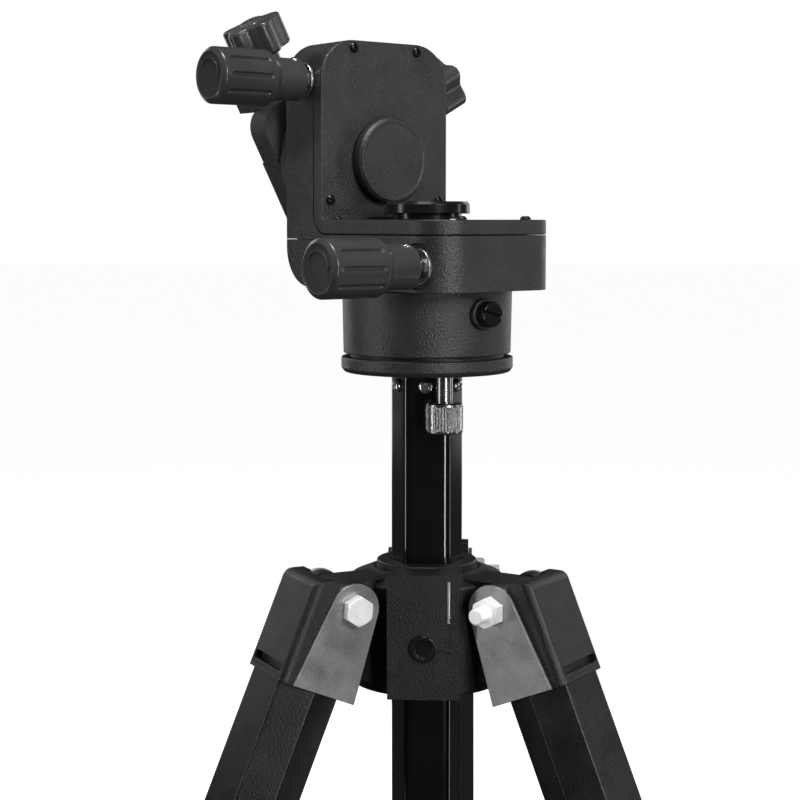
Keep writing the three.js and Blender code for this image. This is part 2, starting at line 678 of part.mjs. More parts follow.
// The leg's hexagon lies with its long way along the pivot bolt.
function legPrism(inset, from, to, r = 0) {
  return prism(hexagon(LEG, inset, r), from, to, 1).rotateZ(90 * DEG).translate(LEG.offset, 0, 0);
}

// The moulded head of a leg: two cheeks round the crown's arm, under a sloping hood.
function legHead() {
  const { half, outer, inner, bottom, crest, slot, boss } = LEG_HEAD;
  const [c, s] = [Math.cos(LEG_SPLAY), Math.sin(LEG_SPLAY)];
  // A point given level with the ground, out from and above the pivot, in the leg's frame.
  const level = (out, up) => [out * c + up * s, -out * s + up * c];
  const crestIn = level(7.5, crest);
  const crestOut = level((outer - crest * s) / c, crest);
  const hood = outline([
    [inner, bottom], [outer, bottom], [...crestOut, 9], [...crestIn, 1], [...level(7.5, 9)], [inner, 0],
  ]);
  const cheeks = join(prismY(hood, -half, half), rod(boss, -half, half, { axis: 'y' }));
  const room = block(inner - 5, 16, -slot, slot, -24, 40);
  const roomRound = rod(16, -slot, slot, { axis: 'y' });
  const hole = rod(BOLT.r + GAP, -half - 1, half + 1, { axis: 'y', segments: 12 });
  const spigot = solid(legPrism(LEG.wall + 0.8, bottom - 18, bottom + 4));
  return join(cut(cheeks, room, roomRound, hole), spigot);
}

function legPlate(side) {
  const { thick, topR, halfFoot, bottom } = LEG_PLATE;
  const near = LEG_HEAD.half + GAP;
  // Straight sides from the foot of the plate, tangent to the round top.
  const reach = Math.hypot(halfFoot, bottom);
  const lean = Math.acos(topR / reach) + Math.atan2(bottom, halfFoot);
  const shape = new THREE.Shape();
  shape.moveTo(-halfFoot, bottom);
  shape.lineTo(halfFoot, bottom);
  shape.absarc(0, 0, topR, lean, Math.PI - lean, false);
  shape.closePath();
  const [from, to] = side > 0 ? [near, near + thick] : [-near - thick, -near];
  const hole = rod(BOLT.r + GAP, -40, 40, { axis: 'y', segments: 12 });
  return prismY(shape, from, to, 6).subtract(hole);
}

// Bolt head on the +y side, washer face and nut on the -y side, with the thread standing out.
function pivotBolt() {
  const face = LEG_HEAD.half + GAP + LEG_PLATE.thick + GAP;
  const { r, headR, head: headHeight, nut, tip } = BOLT;
  const shank = rod(r, -face - nut - tip, face + 1, { axis: 'y', segments: 12 });
  const hexHead = rod(headR, face, face + headHeight, { axis: 'y', segments: 6 });
  const hexNut = rod(headR, -face - nut, -face, { axis: 'y', segments: 6 });
  return join(shank, hexHead, hexNut);
}

function legClamp() {
  const { top, bottom, screw } = LEG_CLAMP;
  const sleeve = solid(legPrism(-4, bottom, top));
  const lug = block(LEG.offset + 14, LEG.offset + 30, -9, 9, screw - 11, screw + 11);
  const upperRoom = solid(legPrism(-GAP, UPPER_TUBE_END, top + 1));
  const lowerRoom = solid(legPrism(LEG.wall + GAP, bottom - 1, UPPER_TUBE_END + 1));
  const hole = rod(4 + GAP, LEG.offset, LEG.offset + 40, { axis: 'x', z: screw, segments: 16 });
  return cut(join(sleeve, lug), upperRoom, lowerRoom, hole);
}

function legLockScrew() {
  const from = LEG.offset + LEG.halfDepth - LEG.wall - 0.2;
  const outer = LEG.offset + 30.4;
  const shank = rod(4, from, outer + 4, { axis: 'x', segments: 16 });
  const knob = solid(starPrism(0, 11, 0.68).rotateY(90 * DEG).translate(outer, 0, 0));
  return solid(geometryOf(join(shank, knob)).translate(0, 0, LEG_CLAMP.screw));
}

// The rubber foot: a round boot with a socket for the lower tube, trimmed level underneath.
function foot() {
  const { r, top, centre, socket } = FOOT;
  const profile = [[0, top], [r - 1.5, top], [r, top - 1.5], [r, centre]];
  for (let step = 1; step <= 4; step += 1) {
    const angle = (step / 4) * 90 * DEG;
    profile.push([r * Math.cos(angle), centre - r * Math.sin(angle)]);
  }
  profile[profile.length - 1][0] = 0;
  const boot = turned(profile, { x: LEG.offset, segments: 16 });
  const pocket = solid(legPrism(LEG.wall + 0.6 - GAP, socket, top + 1));
  const floorBelowPivot = DATUM_HEIGHT + PIVOT_Z;
  const below = new THREE.BoxGeometry(3000, 200, 40).translate(0, 0, -floorBelowPivot - 20);
  below.rotateY(LEG_SPLAY);
  return cut(boot, pocket, solid(below));
}

forEachLeg(stand, (name, spoke) => {
  const hinge = new THREE.Group();
  hinge.position.set(PIVOT_RADIUS, 0, PIVOT_Z);
  hinge.rotation.y = -LEG_SPLAY;
  spoke.add(hinge);
  const lowerInset = LEG.wall + 0.6;
  const upperTube = cut(
    solid(legPrism(0, UPPER_TUBE_END, LEG_HEAD.bottom - GAP, 1.2)),
    solid(legPrism(LEG.wall, UPPER_TUBE_END - 1, LEG_HEAD.bottom)),
  );
  const lowerTube = cut(
    solid(legPrism(lowerInset, LOWER_TUBE.bottom, LOWER_TUBE.top)),
    solid(legPrism(lowerInset + 1.8, LOWER_TUBE.bottom - 1, LOWER_TUBE.top + 1)),
  );
  part(`${name}_leg_head`, legHead(), 'plastic', hinge);
  part(`${name}_leg_bolt_side_plate`, legPlate(1), 'stamped', hinge);
  part(`${name}_leg_nut_side_plate`, legPlate(-1), 'stamped', hinge);
  part(`${name}_pivot_bolt`, pivotBolt(), 'chrome', hinge);
  part(`${name}_upper_leg`, upperTube, 'leg', hinge);
  part(`${name}_leg_clamp`, legClamp(), 'plastic', hinge);
  part(`${name}_leg_lock_screw`, legLockScrew(), 'grip', hinge);
  part(`${name}_lower_leg`, lowerTube, 'leg', hinge);
  part(`${name}_foot`, foot(), 'rubber', hinge);
});

// ---------------------------------------------------------------- placing

const box = new THREE.Box3().setFromObject(root, true);
const middle = box.getCenter(new THREE.Vector3());
root.position.set(-middle.x, -middle.y, DATUM_HEIGHT);
root.updateMatrixWorld(true);

export default root;
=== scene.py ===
import json
import math

import bmesh
import bpy
from mathutils import Matrix, Vector


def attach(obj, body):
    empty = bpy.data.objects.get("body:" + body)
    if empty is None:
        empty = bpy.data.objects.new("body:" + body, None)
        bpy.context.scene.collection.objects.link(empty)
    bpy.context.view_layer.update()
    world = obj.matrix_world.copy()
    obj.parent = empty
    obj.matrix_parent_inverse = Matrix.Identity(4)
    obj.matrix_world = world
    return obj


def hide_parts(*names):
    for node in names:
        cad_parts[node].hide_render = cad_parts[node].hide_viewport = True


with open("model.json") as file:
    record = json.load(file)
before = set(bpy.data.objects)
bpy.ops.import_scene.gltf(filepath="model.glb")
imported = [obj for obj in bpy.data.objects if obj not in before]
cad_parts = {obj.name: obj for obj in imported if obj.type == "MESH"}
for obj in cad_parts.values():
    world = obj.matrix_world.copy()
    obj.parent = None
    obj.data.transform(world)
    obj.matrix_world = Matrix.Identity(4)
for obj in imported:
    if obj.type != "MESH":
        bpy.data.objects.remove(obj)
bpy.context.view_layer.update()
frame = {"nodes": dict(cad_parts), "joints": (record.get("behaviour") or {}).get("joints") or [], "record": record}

# The looks of an altitude-azimuth telescope mount on its column and three-legged stand.
# Shapes are drawn in millimetres, each in the frame of what it turns with, and placed in metres.

MM = 0.001
UP = Vector((0, 0, 1))
GAP = 0.3

# Head, in its own frame: x along the worms, y away from the open side, z up from the datum plane
HEAD_HALF = 40
HOUSING_TOP = 79.8
CORNER_R = 20
COVER_FRONT_Y = 33.5
COVER_BACK_Y = 40.5
COVER_TOP_Z = -9.3
COVER_UNDER_Z = -16.5
COVER_HEEL_R = 10
HOUSING_BACK_Y = 64
HOUSING_FRONT_Y = -55
BACK_BOSS = {"r": 38, "end": 72.4}
PARTING_Z = -19
LOWER_BOTTOM_Z = -43
WALL = 4
ALTITUDE_Z = 20.5
SHAFT_R = 12
SPINDLE_R = 15
SPINDLE_TOP_R = 10
ALTITUDE_WORM = {"y": 48, "z": 59.7}
AZIMUTH_WORM = {"y": -41, "z": -31}
WORM_SHAFT_R = 4
BUSH_R = 6
KNOB_RECESS = {"r": 11, "floor_x": -37}
KNOB = {"neck_r": 10.5, "neck": 17, "shoulder": 22, "grip_r": 13.75, "grip": 50, "length": 53.5}
KNOB_INNER_X = -42.6
KNOB_NECK_X = -44.6
KNOB_GROOVES = 10
GROOVE = {"half_width": 1.15, "depth": 1.1, "end": 1.5}
DRUM = {"r": 42, "foot_r": 41.4, "top": -43.3, "bottom": -74.7, "bore": 36, "roof": 5}
RING = {"r": 42.5, "top": -76.5, "neck_r": 38, "neck_top": -75, "bottom": -84}
LOCK = {"z": -54, "r": 6.25, "face": 50.2, "boss_r": 7.5, "boss_end": 44.5, "shank_r": 3, "tip": 31,
        "turn": 16}
THUMB = {"x": 8, "y": -27, "r": 9, "top": -97, "bottom": -112, "shank_r": 4}

# Saddle: x along the telescope, z across the clamp
SADDLE = {"half": 34.5, "front": 73, "seat": 88, "back": 104, "low": -38, "high": 44}
JAW = {"half": 20, "mouth": 18, "seat": 22.3, "outer": 33}
SEAT_PAD = {"half": 17.5, "height": 1.2}
CLAMP_WALL = {"low": 42, "high": 50, "half": 25}
CLAMP = {"x": -2, "y": 97, "neck": 54.3, "star": 65, "end": 82, "turn": -95}
CLUTCH = {"y": 82, "z": 3.5, "hole": 20, "neck": 60, "star": 75, "end": 92, "turn": 10}
CLAMP_SCREW_R = 4
SCREW_ENTRY = 6
STAR = {"r": 16.5, "valley": 12.3, "lobes": 5, "neck_r": 8}

# Column and crown of the stand
COLUMN = {"half_width": 18, "half_flat": 10.75, "half_depth": 15.5, "wall": 2.5}
COLUMN_TOP = -84.3
COLUMN_LENGTH = 300
COLUMN_TOP_SCREW_Z = -90.5
PIVOT_RADIUS = 50
PIVOT_Z = -195
CROWN = {"collar_top": -178, "collar_r": 25, "dome_top": -181.5, "dome_r": 27, "shoulder": -186,
         "bottom": -239, "skirt_r": 38}
CROWN_ARM = {"half": 12.7, "r": 11.3}
CROWN_FLAT_X = 36.6
CROWN_BLOCK = {"half": 17.5, "front": -42, "top": -178.5}
COLUMN_SCREW = {"z": -214, "r": 6.5}

# Legs, in a frame at the pivot: x outwards, y along the pivot bolt, z up the leg
LEG = {"half_width": 23, "half_flat": 15.5, "half_depth": 16.5, "wall": 2}
LEG_OFFSET = 5.5
LEG_HEAD = {"half": 20, "outer": 24.5, "inner": -12, "bottom": -43, "crest": 14.5, "slot": 13.2, "boss": 12}
LEG_PLATE = {"thick": 1.8, "top_r": 12.5, "half_foot": 17, "bottom": -43}
UPPER_TUBE_END = -545
LOWER_TUBE = {"top": -130, "bottom": -605.7}
LEG_CLAMP = {"top": -530, "bottom": -575, "screw": -561}
LEG_LOCK = {"share_of_star": 0.68, "seat": 30.4, "height": 11, "shank_r": 4}
FOOT = {"r": 21.5, "top": -592, "centre": -615.7, "socket": -606}
BOLT = {"r": 4, "head_r": 7.5, "head": 5.3, "nut": 6.5, "tip": 8}
LEGS = ("left", "right", "rear")

# Studio: brightness of the surround, camera distances from the datum in metres, pitch in degrees,
# and the shift and focal length as shares of the sensor's width
AMBIENT = 0.05
CAMERA_BACK = 0.8548
CAMERA_ASIDE = -0.0134
CAMERA_DROP = 0.0096
CAMERA_PITCH = 4.622
CAMERA_SHIFT = -0.05
FOCAL_SHARE = 2.16


# ---------------------------------------------------------------- frames

def placing(origin, y_axis, z_axis):
    """The matrix from millimetres in a frame with these axes to metres in the row frame."""
    y, z = Vector(y_axis).normalized(), Vector(z_axis).normalized()
    turn = Matrix((y.cross(z), y, z)).transposed().to_4x4()
    return Matrix.Translation(origin) @ turn @ Matrix.Scale(MM, 4)


JOINTS = {joint["name"]: joint for joint in frame["joints"]}
BODY_OF = {node: body for body, nodes in frame["record"]["behaviour"]["bodies"].items() for node in nodes}
SLOT_OF = {part["node"]: part["material_slot"] for part in frame["record"]["subparts"]}


def axis_of(joint):
    return Vector(JOINTS[joint]["axis"])


azimuth_axis = Vector(JOINTS["azimuth_turn"]["pos_m"])
altitude_axis = Vector(JOINTS["altitude_turn"]["pos_m"])
datum = Vector((azimuth_axis.x, azimuth_axis.y, altitude_axis.z - ALTITUDE_Z * MM))
HEAD = placing(datum, -axis_of("altitude_turn"), UP)
SADDLE_FRAME = placing(
    datum + UP * ALTITUDE_Z * MM, -axis_of("altitude_turn"), -axis_of("saddle_clamp_turn")
)
POST = placing(datum, (0, 1, 0), UP)
STAND = placing(datum, -axis_of("column_clamp_turn"), UP)
LEG_FRAMES = {
    leg: placing(
        JOINTS[leg + "_leg_fold"]["pos_m"], axis_of(leg + "_leg_fold"), -axis_of(leg + "_leg_extend")
    )
    for leg in LEGS
}
SPLAY = math.acos(-axis_of("left_leg_extend").z)


# ---------------------------------------------------------------- mesh tools

def rounded(corners, closed=True, step=7.5):
    """Points along corners (x, y) or (x, y, radius), with each corner rounded to its radius."""
    points = []
    count = len(corners)
    for i, (x, y, *radius) in enumerate(corners):
        here = Vector((x, y))
        at_end = not closed and i in (0, count - 1)
        if not radius or radius[0] == 0 or at_end:
            points.append(here)
            continue
        r = radius[0]
        before = (Vector(corners[i - 1][:2]) - here).normalized()
        after = (Vector(corners[(i + 1) % count][:2]) - here).normalized()
        half = before.angle(after) / 2
        centre = here + (before + after).normalized() * (r / math.sin(half))
        start = here + before * (r / math.tan(half)) - centre
        end = here + after * (r / math.tan(half)) - centre
        first = math.atan2(start.y, start.x)
        sweep = (math.atan2(end.y, end.x) - first + math.pi) % (2 * math.pi) - math.pi
        steps = max(2, math.ceil(abs(math.degrees(sweep)) / step))
        for k in range(steps + 1):
            angle = first + sweep * k / steps
            points.append(centre + Vector((math.cos(angle), math.sin(angle))) * r)
    return [tuple(point) for point in points]


def rectangle(x0, x1, y0, y1, radii=(0, 0, 0, 0)):
    corners = zip(((x0, y0), (x1, y0), (x1, y1), (x0, y1)), radii)
    return rounded([(x, y, r) for (x, y), r in corners])


def circle(r, x=0, y=0, steps=96):
    turns = (2 * math.pi * k / steps for k in range(steps))
    return [(x + r * math.cos(a), y + r * math.sin(a)) for a in turns]


def finished(bm):
    bmesh.ops.remove_doubles(bm, verts=bm.verts, dist=1e-4)
    bmesh.ops.recalc_face_normals(bm, faces=bm.faces)
    mesh = bpy.data.meshes.new("shape")
    bm.to_mesh(mesh)
    bm.free()
    return mesh


PLACED = {
    "x": lambda a, b, t: (t, a, b),
    "y": lambda a, b, t: (a, t, b),
    "z": lambda a, b, t: (a, b, t),
}


def prism(points, low, high, axis="z"):
    """An outline drawn across an axis, and thickened along it."""
    bm = bmesh.new()
    rings = [[bm.verts.new(PLACED[axis](a, b, t)) for a, b in points] for t in (low, high)]
    for ring in rings:
        bm.faces.new(ring)
    for i in range(len(points)):
        bm.faces.new((rings[0][i - 1], rings[0][i], rings[1][i], rings[1][i - 1]))
    return finished(bm)


def block(x0, x1, y0, y1, z0, z1):
    return prism(rectangle(x0, x1, y0, y1), z0, z1)


def turned(profile, axis="z", at=(0, 0, 0), segments=96, shape=None):
    """A turned shape from (radius, height) points; shape(r, h, angle) may change the radius."""
    bm = bmesh.new()
    rings = []
    for r, h in profile:
        if r < 1e-6:
            rings.append([bm.verts.new(Vector(PLACED[axis](0, 0, h)) + Vector(at))])
            continue
        ring = []
        for k in range(segments):
            angle = 2 * math.pi * k / segments
            reach = shape(r, h, angle) if shape else r
            point = PLACED[axis](reach * math.cos(angle), reach * math.sin(angle), h)
            ring.append(bm.verts.new(Vector(point) + Vector(at)))
        rings.append(ring)
    for one, two in zip(rings, rings[1:]):
        for k in range(segments):
            corners = [one[(k - 1) % len(one)], one[k % len(one)]]
            corners += [two[k % len(two)], two[(k - 1) % len(two)]]
            distinct = list(dict.fromkeys(corners))
            if len(distinct) > 2:
                bm.faces.new(distinct)
    return finished(bm)


def rod(r, low, high, axis="z", at=(0, 0, 0), segments=64):
    return turned([(0, low), (r, low), (r, high), (0, high)], axis, at, segments)


def moved(mesh, matrix):
    copy = mesh.copy()
    copy.transform(matrix)
    return copy


def evaluated(obj):
    graph = bpy.context.evaluated_depsgraph_get()
    graph.update()
    return bpy.data.meshes.new_from_object(obj.evaluated_get(graph))


def linked(name, mesh):
    obj = bpy.data.objects.new(name, mesh)
    bpy.context.scene.collection.objects.link(obj)
    return obj


def combined(operation, base, tools):
    work = linked("work", base)
    helpers = [linked("tool", tool) for tool in tools]
    for helper in helpers:
        modifier = work.modifiers.new("boolean", "BOOLEAN")
        modifier.operation = operation
        modifier.solver = "EXACT"
        modifier.object = helper
    result = evaluated(work)
    for obj in (work, *helpers):
        bpy.data.objects.remove(obj)
    return result


def cut(base, *tools):
    return combined("DIFFERENCE", base, tools)


def join(base, *tools):
    return combined("UNION", base, tools)


def common(base, *tools):
    return combined("INTERSECT", base, tools)


def softened(mesh, bevel, sharp):
    """The mesh with its edges rounded, and shading that keeps its flat faces flat."""
    bm = bmesh.new()
    bm.from_mesh(mesh)
    bmesh.ops.remove_doubles(bm, verts=bm.verts, dist=2e-3)
    bmesh.ops.dissolve_limit(bm, angle_limit=math.radians(0.3), verts=bm.verts, edges=bm.edges)
    bm.to_mesh(mesh)
    bm.free()
    mesh.shade_smooth()
    work = linked("work", mesh)
    if bevel:
        rounding = work.modifiers.new("bevel", "BEVEL")
        rounding.width = bevel
        rounding.segments = 3
        rounding.limit_method = "ANGLE"
        rounding.angle_limit = math.radians(sharp)
        rounding.miter_outer = "MITER_ARC"
    result = evaluated(work)
    bpy.data.objects.remove(work)
    result.shade_smooth()
    result.set_sharp_from_angle(angle=math.radians(sharp))
    work = linked("work", result)
    weighted = work.modifiers.new("weighted", "WEIGHTED_NORMAL")
    weighted.keep_sharp = True
    final = evaluated(work)
    bpy.data.objects.remove(work)
    return final


def piece(name, mesh, place, material, node=None, body=None, bevel=0.5, sharp=35):
    """A finished piece that rides on a body, and stands for a CAD node if one is named."""
    final = softened(mesh, bevel, sharp)
    final.transform(place)
    final.materials.clear()
    final.materials.append(material)
    obj = linked(name, final)
    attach(obj, body or BODY_OF[node])
    if node:
        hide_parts(node)
    return obj


# ---------------------------------------------------------------- materials

def finish_of(name, colour, roughness, metallic=0.0, coat=0.0, spread=0.25, mottle=60.0, grain=1500.0,
              relief=0.12, depth=0.0002, stretch=(1, 1, 1)):
    """A painted, moulded or metal finish: uneven colour and gloss, with a fine grain in relief."""
    material = bpy.data.materials.new(name)
    material.use_nodes = True
    nodes, links = material.node_tree.nodes, material.node_tree.links
    shader = nodes["Principled BSDF"]
    shader.inputs["Metallic"].default_value = metallic
    shader.inputs["Coat Weight"].default_value = coat
    shader.inputs["Coat Roughness"].default_value = 0.2
    place = nodes.new("ShaderNodeTexCoord")
    scale = nodes.new("ShaderNodeMapping")
    scale.inputs["Scale"].default_value = stretch
    links.new(place.outputs["Object"], scale.inputs["Vector"])

    def noise(size, detail):
        texture = nodes.new("ShaderNodeTexNoise")
        texture.inputs["Scale"].default_value = size
        texture.inputs["Detail"].default_value = detail
        links.new(scale.outputs["Vector"], texture.inputs["Vector"])
        return texture.outputs["Fac"]

    patches, fine = noise(mottle, 4.0), noise(grain, 3.0)
    ramp = nodes.new("ShaderNodeValToRGB")
    ramp.color_ramp.elements[0].position = 0.3
    ramp.color_ramp.elements[1].position = 0.7
    for element, share in zip(ramp.color_ramp.elements, (1 - spread, 1 + spread)):
        element.color = (*(min(1.0, part * share) for part in colour), 1)
    mixed = nodes.new("ShaderNodeMath")
    mixed.operation = "MULTIPLY_ADD"
    mixed.inputs[1].default_value = 0.45
    links.new(fine, mixed.inputs[0])
    half = nodes.new("ShaderNodeMath")
    half.operation = "MULTIPLY"
    half.inputs[1].default_value = 0.55
    links.new(patches, half.inputs[0])
    links.new(half.outputs[0], mixed.inputs[2])
    links.new(mixed.outputs[0], ramp.inputs["Fac"])
    links.new(ramp.outputs["Color"], shader.inputs["Base Color"])
    gloss = nodes.new("ShaderNodeMapRange")
    gloss.inputs["From Min"].default_value = 0.3
    gloss.inputs["From Max"].default_value = 0.7
    gloss.inputs["To Min"].default_value = roughness * 0.85
    gloss.inputs["To Max"].default_value = min(1.0, roughness * 1.15)
    links.new(patches, gloss.inputs["Value"])
    links.new(gloss.outputs["Result"], shader.inputs["Roughness"])
    bump = nodes.new("ShaderNodeBump")
    bump.inputs["Strength"].default_value = relief
    bump.inputs["Distance"].default_value = depth
    links.new(fine, bump.inputs["Height"])
    links.new(bump.outputs["Normal"], shader.inputs["Normal"])
    return material


def grey(value):
    return (value, value, value * 1.03)


casting = finish_of("black_casting", grey(0.017), 0.4, relief=0.9, grain=1100, spread=0.45, depth=0.0004)
plastic = finish_of("moulded_plastic", grey(0.004), 0.42, relief=0.9, grain=1500, spread=0.35, depth=0.0003)
grip = finish_of("moulded_grip", grey(0.036), 0.26, relief=0.15, grain=2600, spread=0.15)
column_tube = finish_of("column_tube", grey(0.002), 0.14, coat=0.2, relief=0.03, spread=0.2)
leg_tube = finish_of("leg_tube", grey(0.003), 0.36, relief=0.7, grain=1000, spread=0.3)
stamped = finish_of("stamped_plate", grey(0.3), 0.36, metallic=0.75, relief=0.6, grain=1500, spread=0.4)
chrome = finish_of("chrome", grey(0.75), 0.14, metallic=1.0, relief=0.04, spread=0.08, mottle=250)
zinc = finish_of("zinc_plate", grey(0.95), 0.4, metallic=0.3, relief=0.1, spread=0.06, mottle=250)
nickel = finish_of("satin_nickel", grey(0.3), 0.26, metallic=1.0, relief=0.1, spread=0.15, mottle=250)
steel = finish_of("bright_steel", grey(0.5), 0.3, metallic=1.0, relief=0.15, spread=0.12, mottle=300)
brass = finish_of("brass", (0.62, 0.46, 0.2), 0.32, metallic=1.0, relief=0.1, spread=0.12, mottle=300)
rubber = finish_of("rubber", grey(0.014), 0.8, relief=0.4, grain=1100, spread=0.2)
black_screw = finish_of("black_screw", grey(0.012), 0.2, metallic=0.4, relief=0.08, spread=0.2)

CARRIED_OVER = {
    "bright_steel": steel, "brass": brass, "chrome": chrome, "black_casting": casting,
    "moulded_plastic": plastic, "moulded_grip": grip, "column_tube": column_tube, "leg_tube": leg_tube,
    "stamped_plate": stamped, "rubber": rubber,
}
for node_name, node_object in frame["nodes"].items():
    node_object.data.materials.clear()
    node_object.data.materials.append(CARRIED_OVER[SLOT_OF[node_name]])


# ---------------------------------------------------------------- head housings

def altitude_housing():
    front = COVER_BACK_Y + GAP
    heel_y, heel_z = COVER_BACK_Y - COVER_HEEL_R, COVER_UNDER_Z + COVER_HEEL_R
    low = PARTING_Z + GAP / 2
    face = rectangle(-HEAD_HALF, HEAD_HALF, low, HOUSING_TOP, (0, 0, CORNER_R, CORNER_R))
    reach = COVER_HEEL_R + GAP
    turns = (math.radians(-90 * k / 12) for k in range(13))
    hollow_corner = [(heel_y + reach * math.cos(a), heel_z + reach * math.sin(a)) for a in turns]
    side = [(front, HOUSING_TOP + 1), *hollow_corner, (heel_y, PARTING_Z)]
    side += [(HOUSING_BACK_Y, PARTING_Z), (HOUSING_BACK_Y, HOUSING_TOP + 1)]
    shell = common(prism(side, -HEAD_HALF, HEAD_HALF, "x"), prism(face, 0, HOUSING_BACK_Y, "y"))
    centre = (0, 0, ALTITUDE_Z)
    boss = rod(BACK_BOSS["r"], HOUSING_BACK_Y - 1, BACK_BOSS["end"], "y", centre, 96)
    inside, inner_r = HEAD_HALF - WALL, CORNER_R - WALL
    room = rectangle(-inside, inside, PARTING_Z + WALL, HOUSING_TOP - WALL, (2, 2, inner_r, inner_r))
    shaft_hole = rod(SHAFT_R + GAP, HOUSING_BACK_Y - WALL - 1, BACK_BOSS["end"] + 1, "y", centre)
    worm_at = (0, ALTITUDE_WORM["y"], ALTITUDE_WORM["z"])
    worm_hole = rod(BUSH_R + GAP, -HEAD_HALF - 1, -inside + 1, "x", worm_at)
    return cut(join(shell, boss), prism(room, front - 1, HOUSING_BACK_Y - WALL, "y"), shaft_hole, worm_hole)


def azimuth_housing():
    heel_y = COVER_BACK_Y - COVER_HEEL_R
    plan = rectangle(-HEAD_HALF, HEAD_HALF, HOUSING_FRONT_Y, HOUSING_BACK_Y, (CORNER_R, CORNER_R, 0, 0))
    side = rounded([
        (HOUSING_FRONT_Y - 1, LOWER_BOTTOM_Z),
        (HOUSING_BACK_Y, LOWER_BOTTOM_Z, CORNER_R),
        (HOUSING_BACK_Y, PARTING_Z - GAP / 2),
        (heel_y - GAP, PARTING_Z - GAP / 2),
        (heel_y - GAP, COVER_UNDER_Z - GAP),
        (HOUSING_FRONT_Y - 1, COVER_UNDER_Z - GAP),
    ])
    body = common(prism(plan, LOWER_BOTTOM_Z, COVER_UNDER_Z), prism(side, -HEAD_HALF, HEAD_HALF, "x"))
    inside, floor, inner_r = HEAD_HALF - WALL, LOWER_BOTTOM_Z + WALL, CORNER_R - WALL
    inner_front = HOUSING_FRONT_Y + WALL
    radii = (inner_r, inner_r, 2, 2)
    roof = PARTING_Z - 3
    hollow = prism(rectangle(-inside, inside, inner_front, inside + 1, radii), floor, roof)
    mouth = prism(rectangle(-inside, inside, inner_front, heel_y - WALL, radii), roof - 1, 0)
    spindle_hole = rod(SPINDLE_R + 2 * GAP, LOWER_BOTTOM_Z - 1, floor + 1)
    worm_at = (0, AZIMUTH_WORM["y"], AZIMUTH_WORM["z"])
    floor_x = KNOB_RECESS["floor_x"]
    recess = rod(KNOB_RECESS["r"], -HEAD_HALF - 1, floor_x, "x", worm_at)
    worm_hole = rod(BUSH_R + GAP, floor_x - 1, inner_r - inside, "x", worm_at)
    return cut(body, hollow, mouth, spindle_hole, recess, worm_hole)


def cover_plate():
    side = rounded([
        (HOUSING_FRONT_Y - 1, COVER_UNDER_Z),
        (COVER_BACK_Y, COVER_UNDER_Z, COVER_HEEL_R),
        (COVER_BACK_Y, HOUSING_TOP + 1),
        (COVER_FRONT_Y, HOUSING_TOP + 1),
        (COVER_FRONT_Y, COVER_TOP_Z, 2.4),
        (HOUSING_FRONT_Y - 1, COVER_TOP_Z),
    ])
    upright = rectangle(
        -HEAD_HALF, HEAD_HALF, COVER_UNDER_Z - 1, HOUSING_TOP, (0, 0, CORNER_R, CORNER_R)
    )
    plan = rectangle(-HEAD_HALF, HEAD_HALF, HOUSING_FRONT_Y, COVER_BACK_Y + 1, (CORNER_R, CORNER_R, 0, 0))
    plate = common(
        prism(side, -HEAD_HALF, HEAD_HALF, "x"),
        prism(upright, HOUSING_FRONT_Y - 1, COVER_BACK_Y + 1, "y"),
        prism(plan, COVER_UNDER_Z - 1, HOUSING_TOP + 1),
    )
    shaft_hole = rod(SHAFT_R + GAP, COVER_FRONT_Y - 5, COVER_BACK_Y + 5, "y", (0, 0, ALTITUDE_Z))
    return cut(plate, shaft_hole, rod(SPINDLE_TOP_R + GAP, COVER_UNDER_Z - 5, 0))


def cap(r, rim, face, foot, neck_r):
    """A round cover cap: a neck, and a disc with a broad chamfer and a faint dish in its face."""
    return rounded([
        (0, foot), (neck_r, foot), (neck_r, rim), (r, rim, 0.5), (r, face - 1.4, 0.4),
        (r - 1.3, face, 0.4), (r - 2.6, face, 0.5), (r - 3.1, face - 0.25, 0.4), (0, face - 0.25),
    ], closed=False)


def altitude_cap():
    profile = [(r, -h) for r, h in cap(21.5, -COVER_FRONT_Y + 2, -26, -COVER_FRONT_Y + GAP, 19)]
    return turned(profile, "y", (0, 0, ALTITUDE_Z), 128)


def azimuth_cap():
    return turned(cap(21, -6.3, -0.4, COVER_TOP_Z + GAP, 17), segments=128)


piece("altitude_housing_casting", altitude_housing(), HEAD, casting, "altitude_housing", bevel=0.9)
piece("azimuth_housing_casting", azimuth_housing(), HEAD, casting, "azimuth_housing", bevel=0.9)
piece("cover_plate_casting", cover_plate(), HEAD, casting, "cover_plate", bevel=0.8)
piece("altitude_cap_disc", altitude_cap(), HEAD, casting, "altitude_cap", bevel=0)
piece("azimuth_cap_disc", azimuth_cap(), HEAD, black_screw, "azimuth_cap", bevel=0)


# ---------------------------------------------------------------- screws

def pan_head(r, height):
    """A pan head about z, standing on z = 0, with a cross recess."""
    head = turned(rounded([
        (0, -0.6), (r, -0.6), (r, height * 0.45, r * 0.25), (r * 0.62, height, r * 0.5), (0, height),
    ], closed=False), segments=40)
    arm, width, deep = r * 0.62, r * 0.17, height * 0.45
    return cut(head, block(-arm, arm, -width, width, deep, height + 1),
               block(-width, width, -arm, arm, deep, height + 1))


def facing(point, direction, turn=0.0):
    """The matrix that stands a shape made about z on a point, facing a direction."""
    aim = Vector(direction).to_track_quat("Z", "Y").to_matrix().to_4x4()
    return Matrix.Translation(point) @ aim @ Matrix.Rotation(math.radians(turn), 4, "Z")


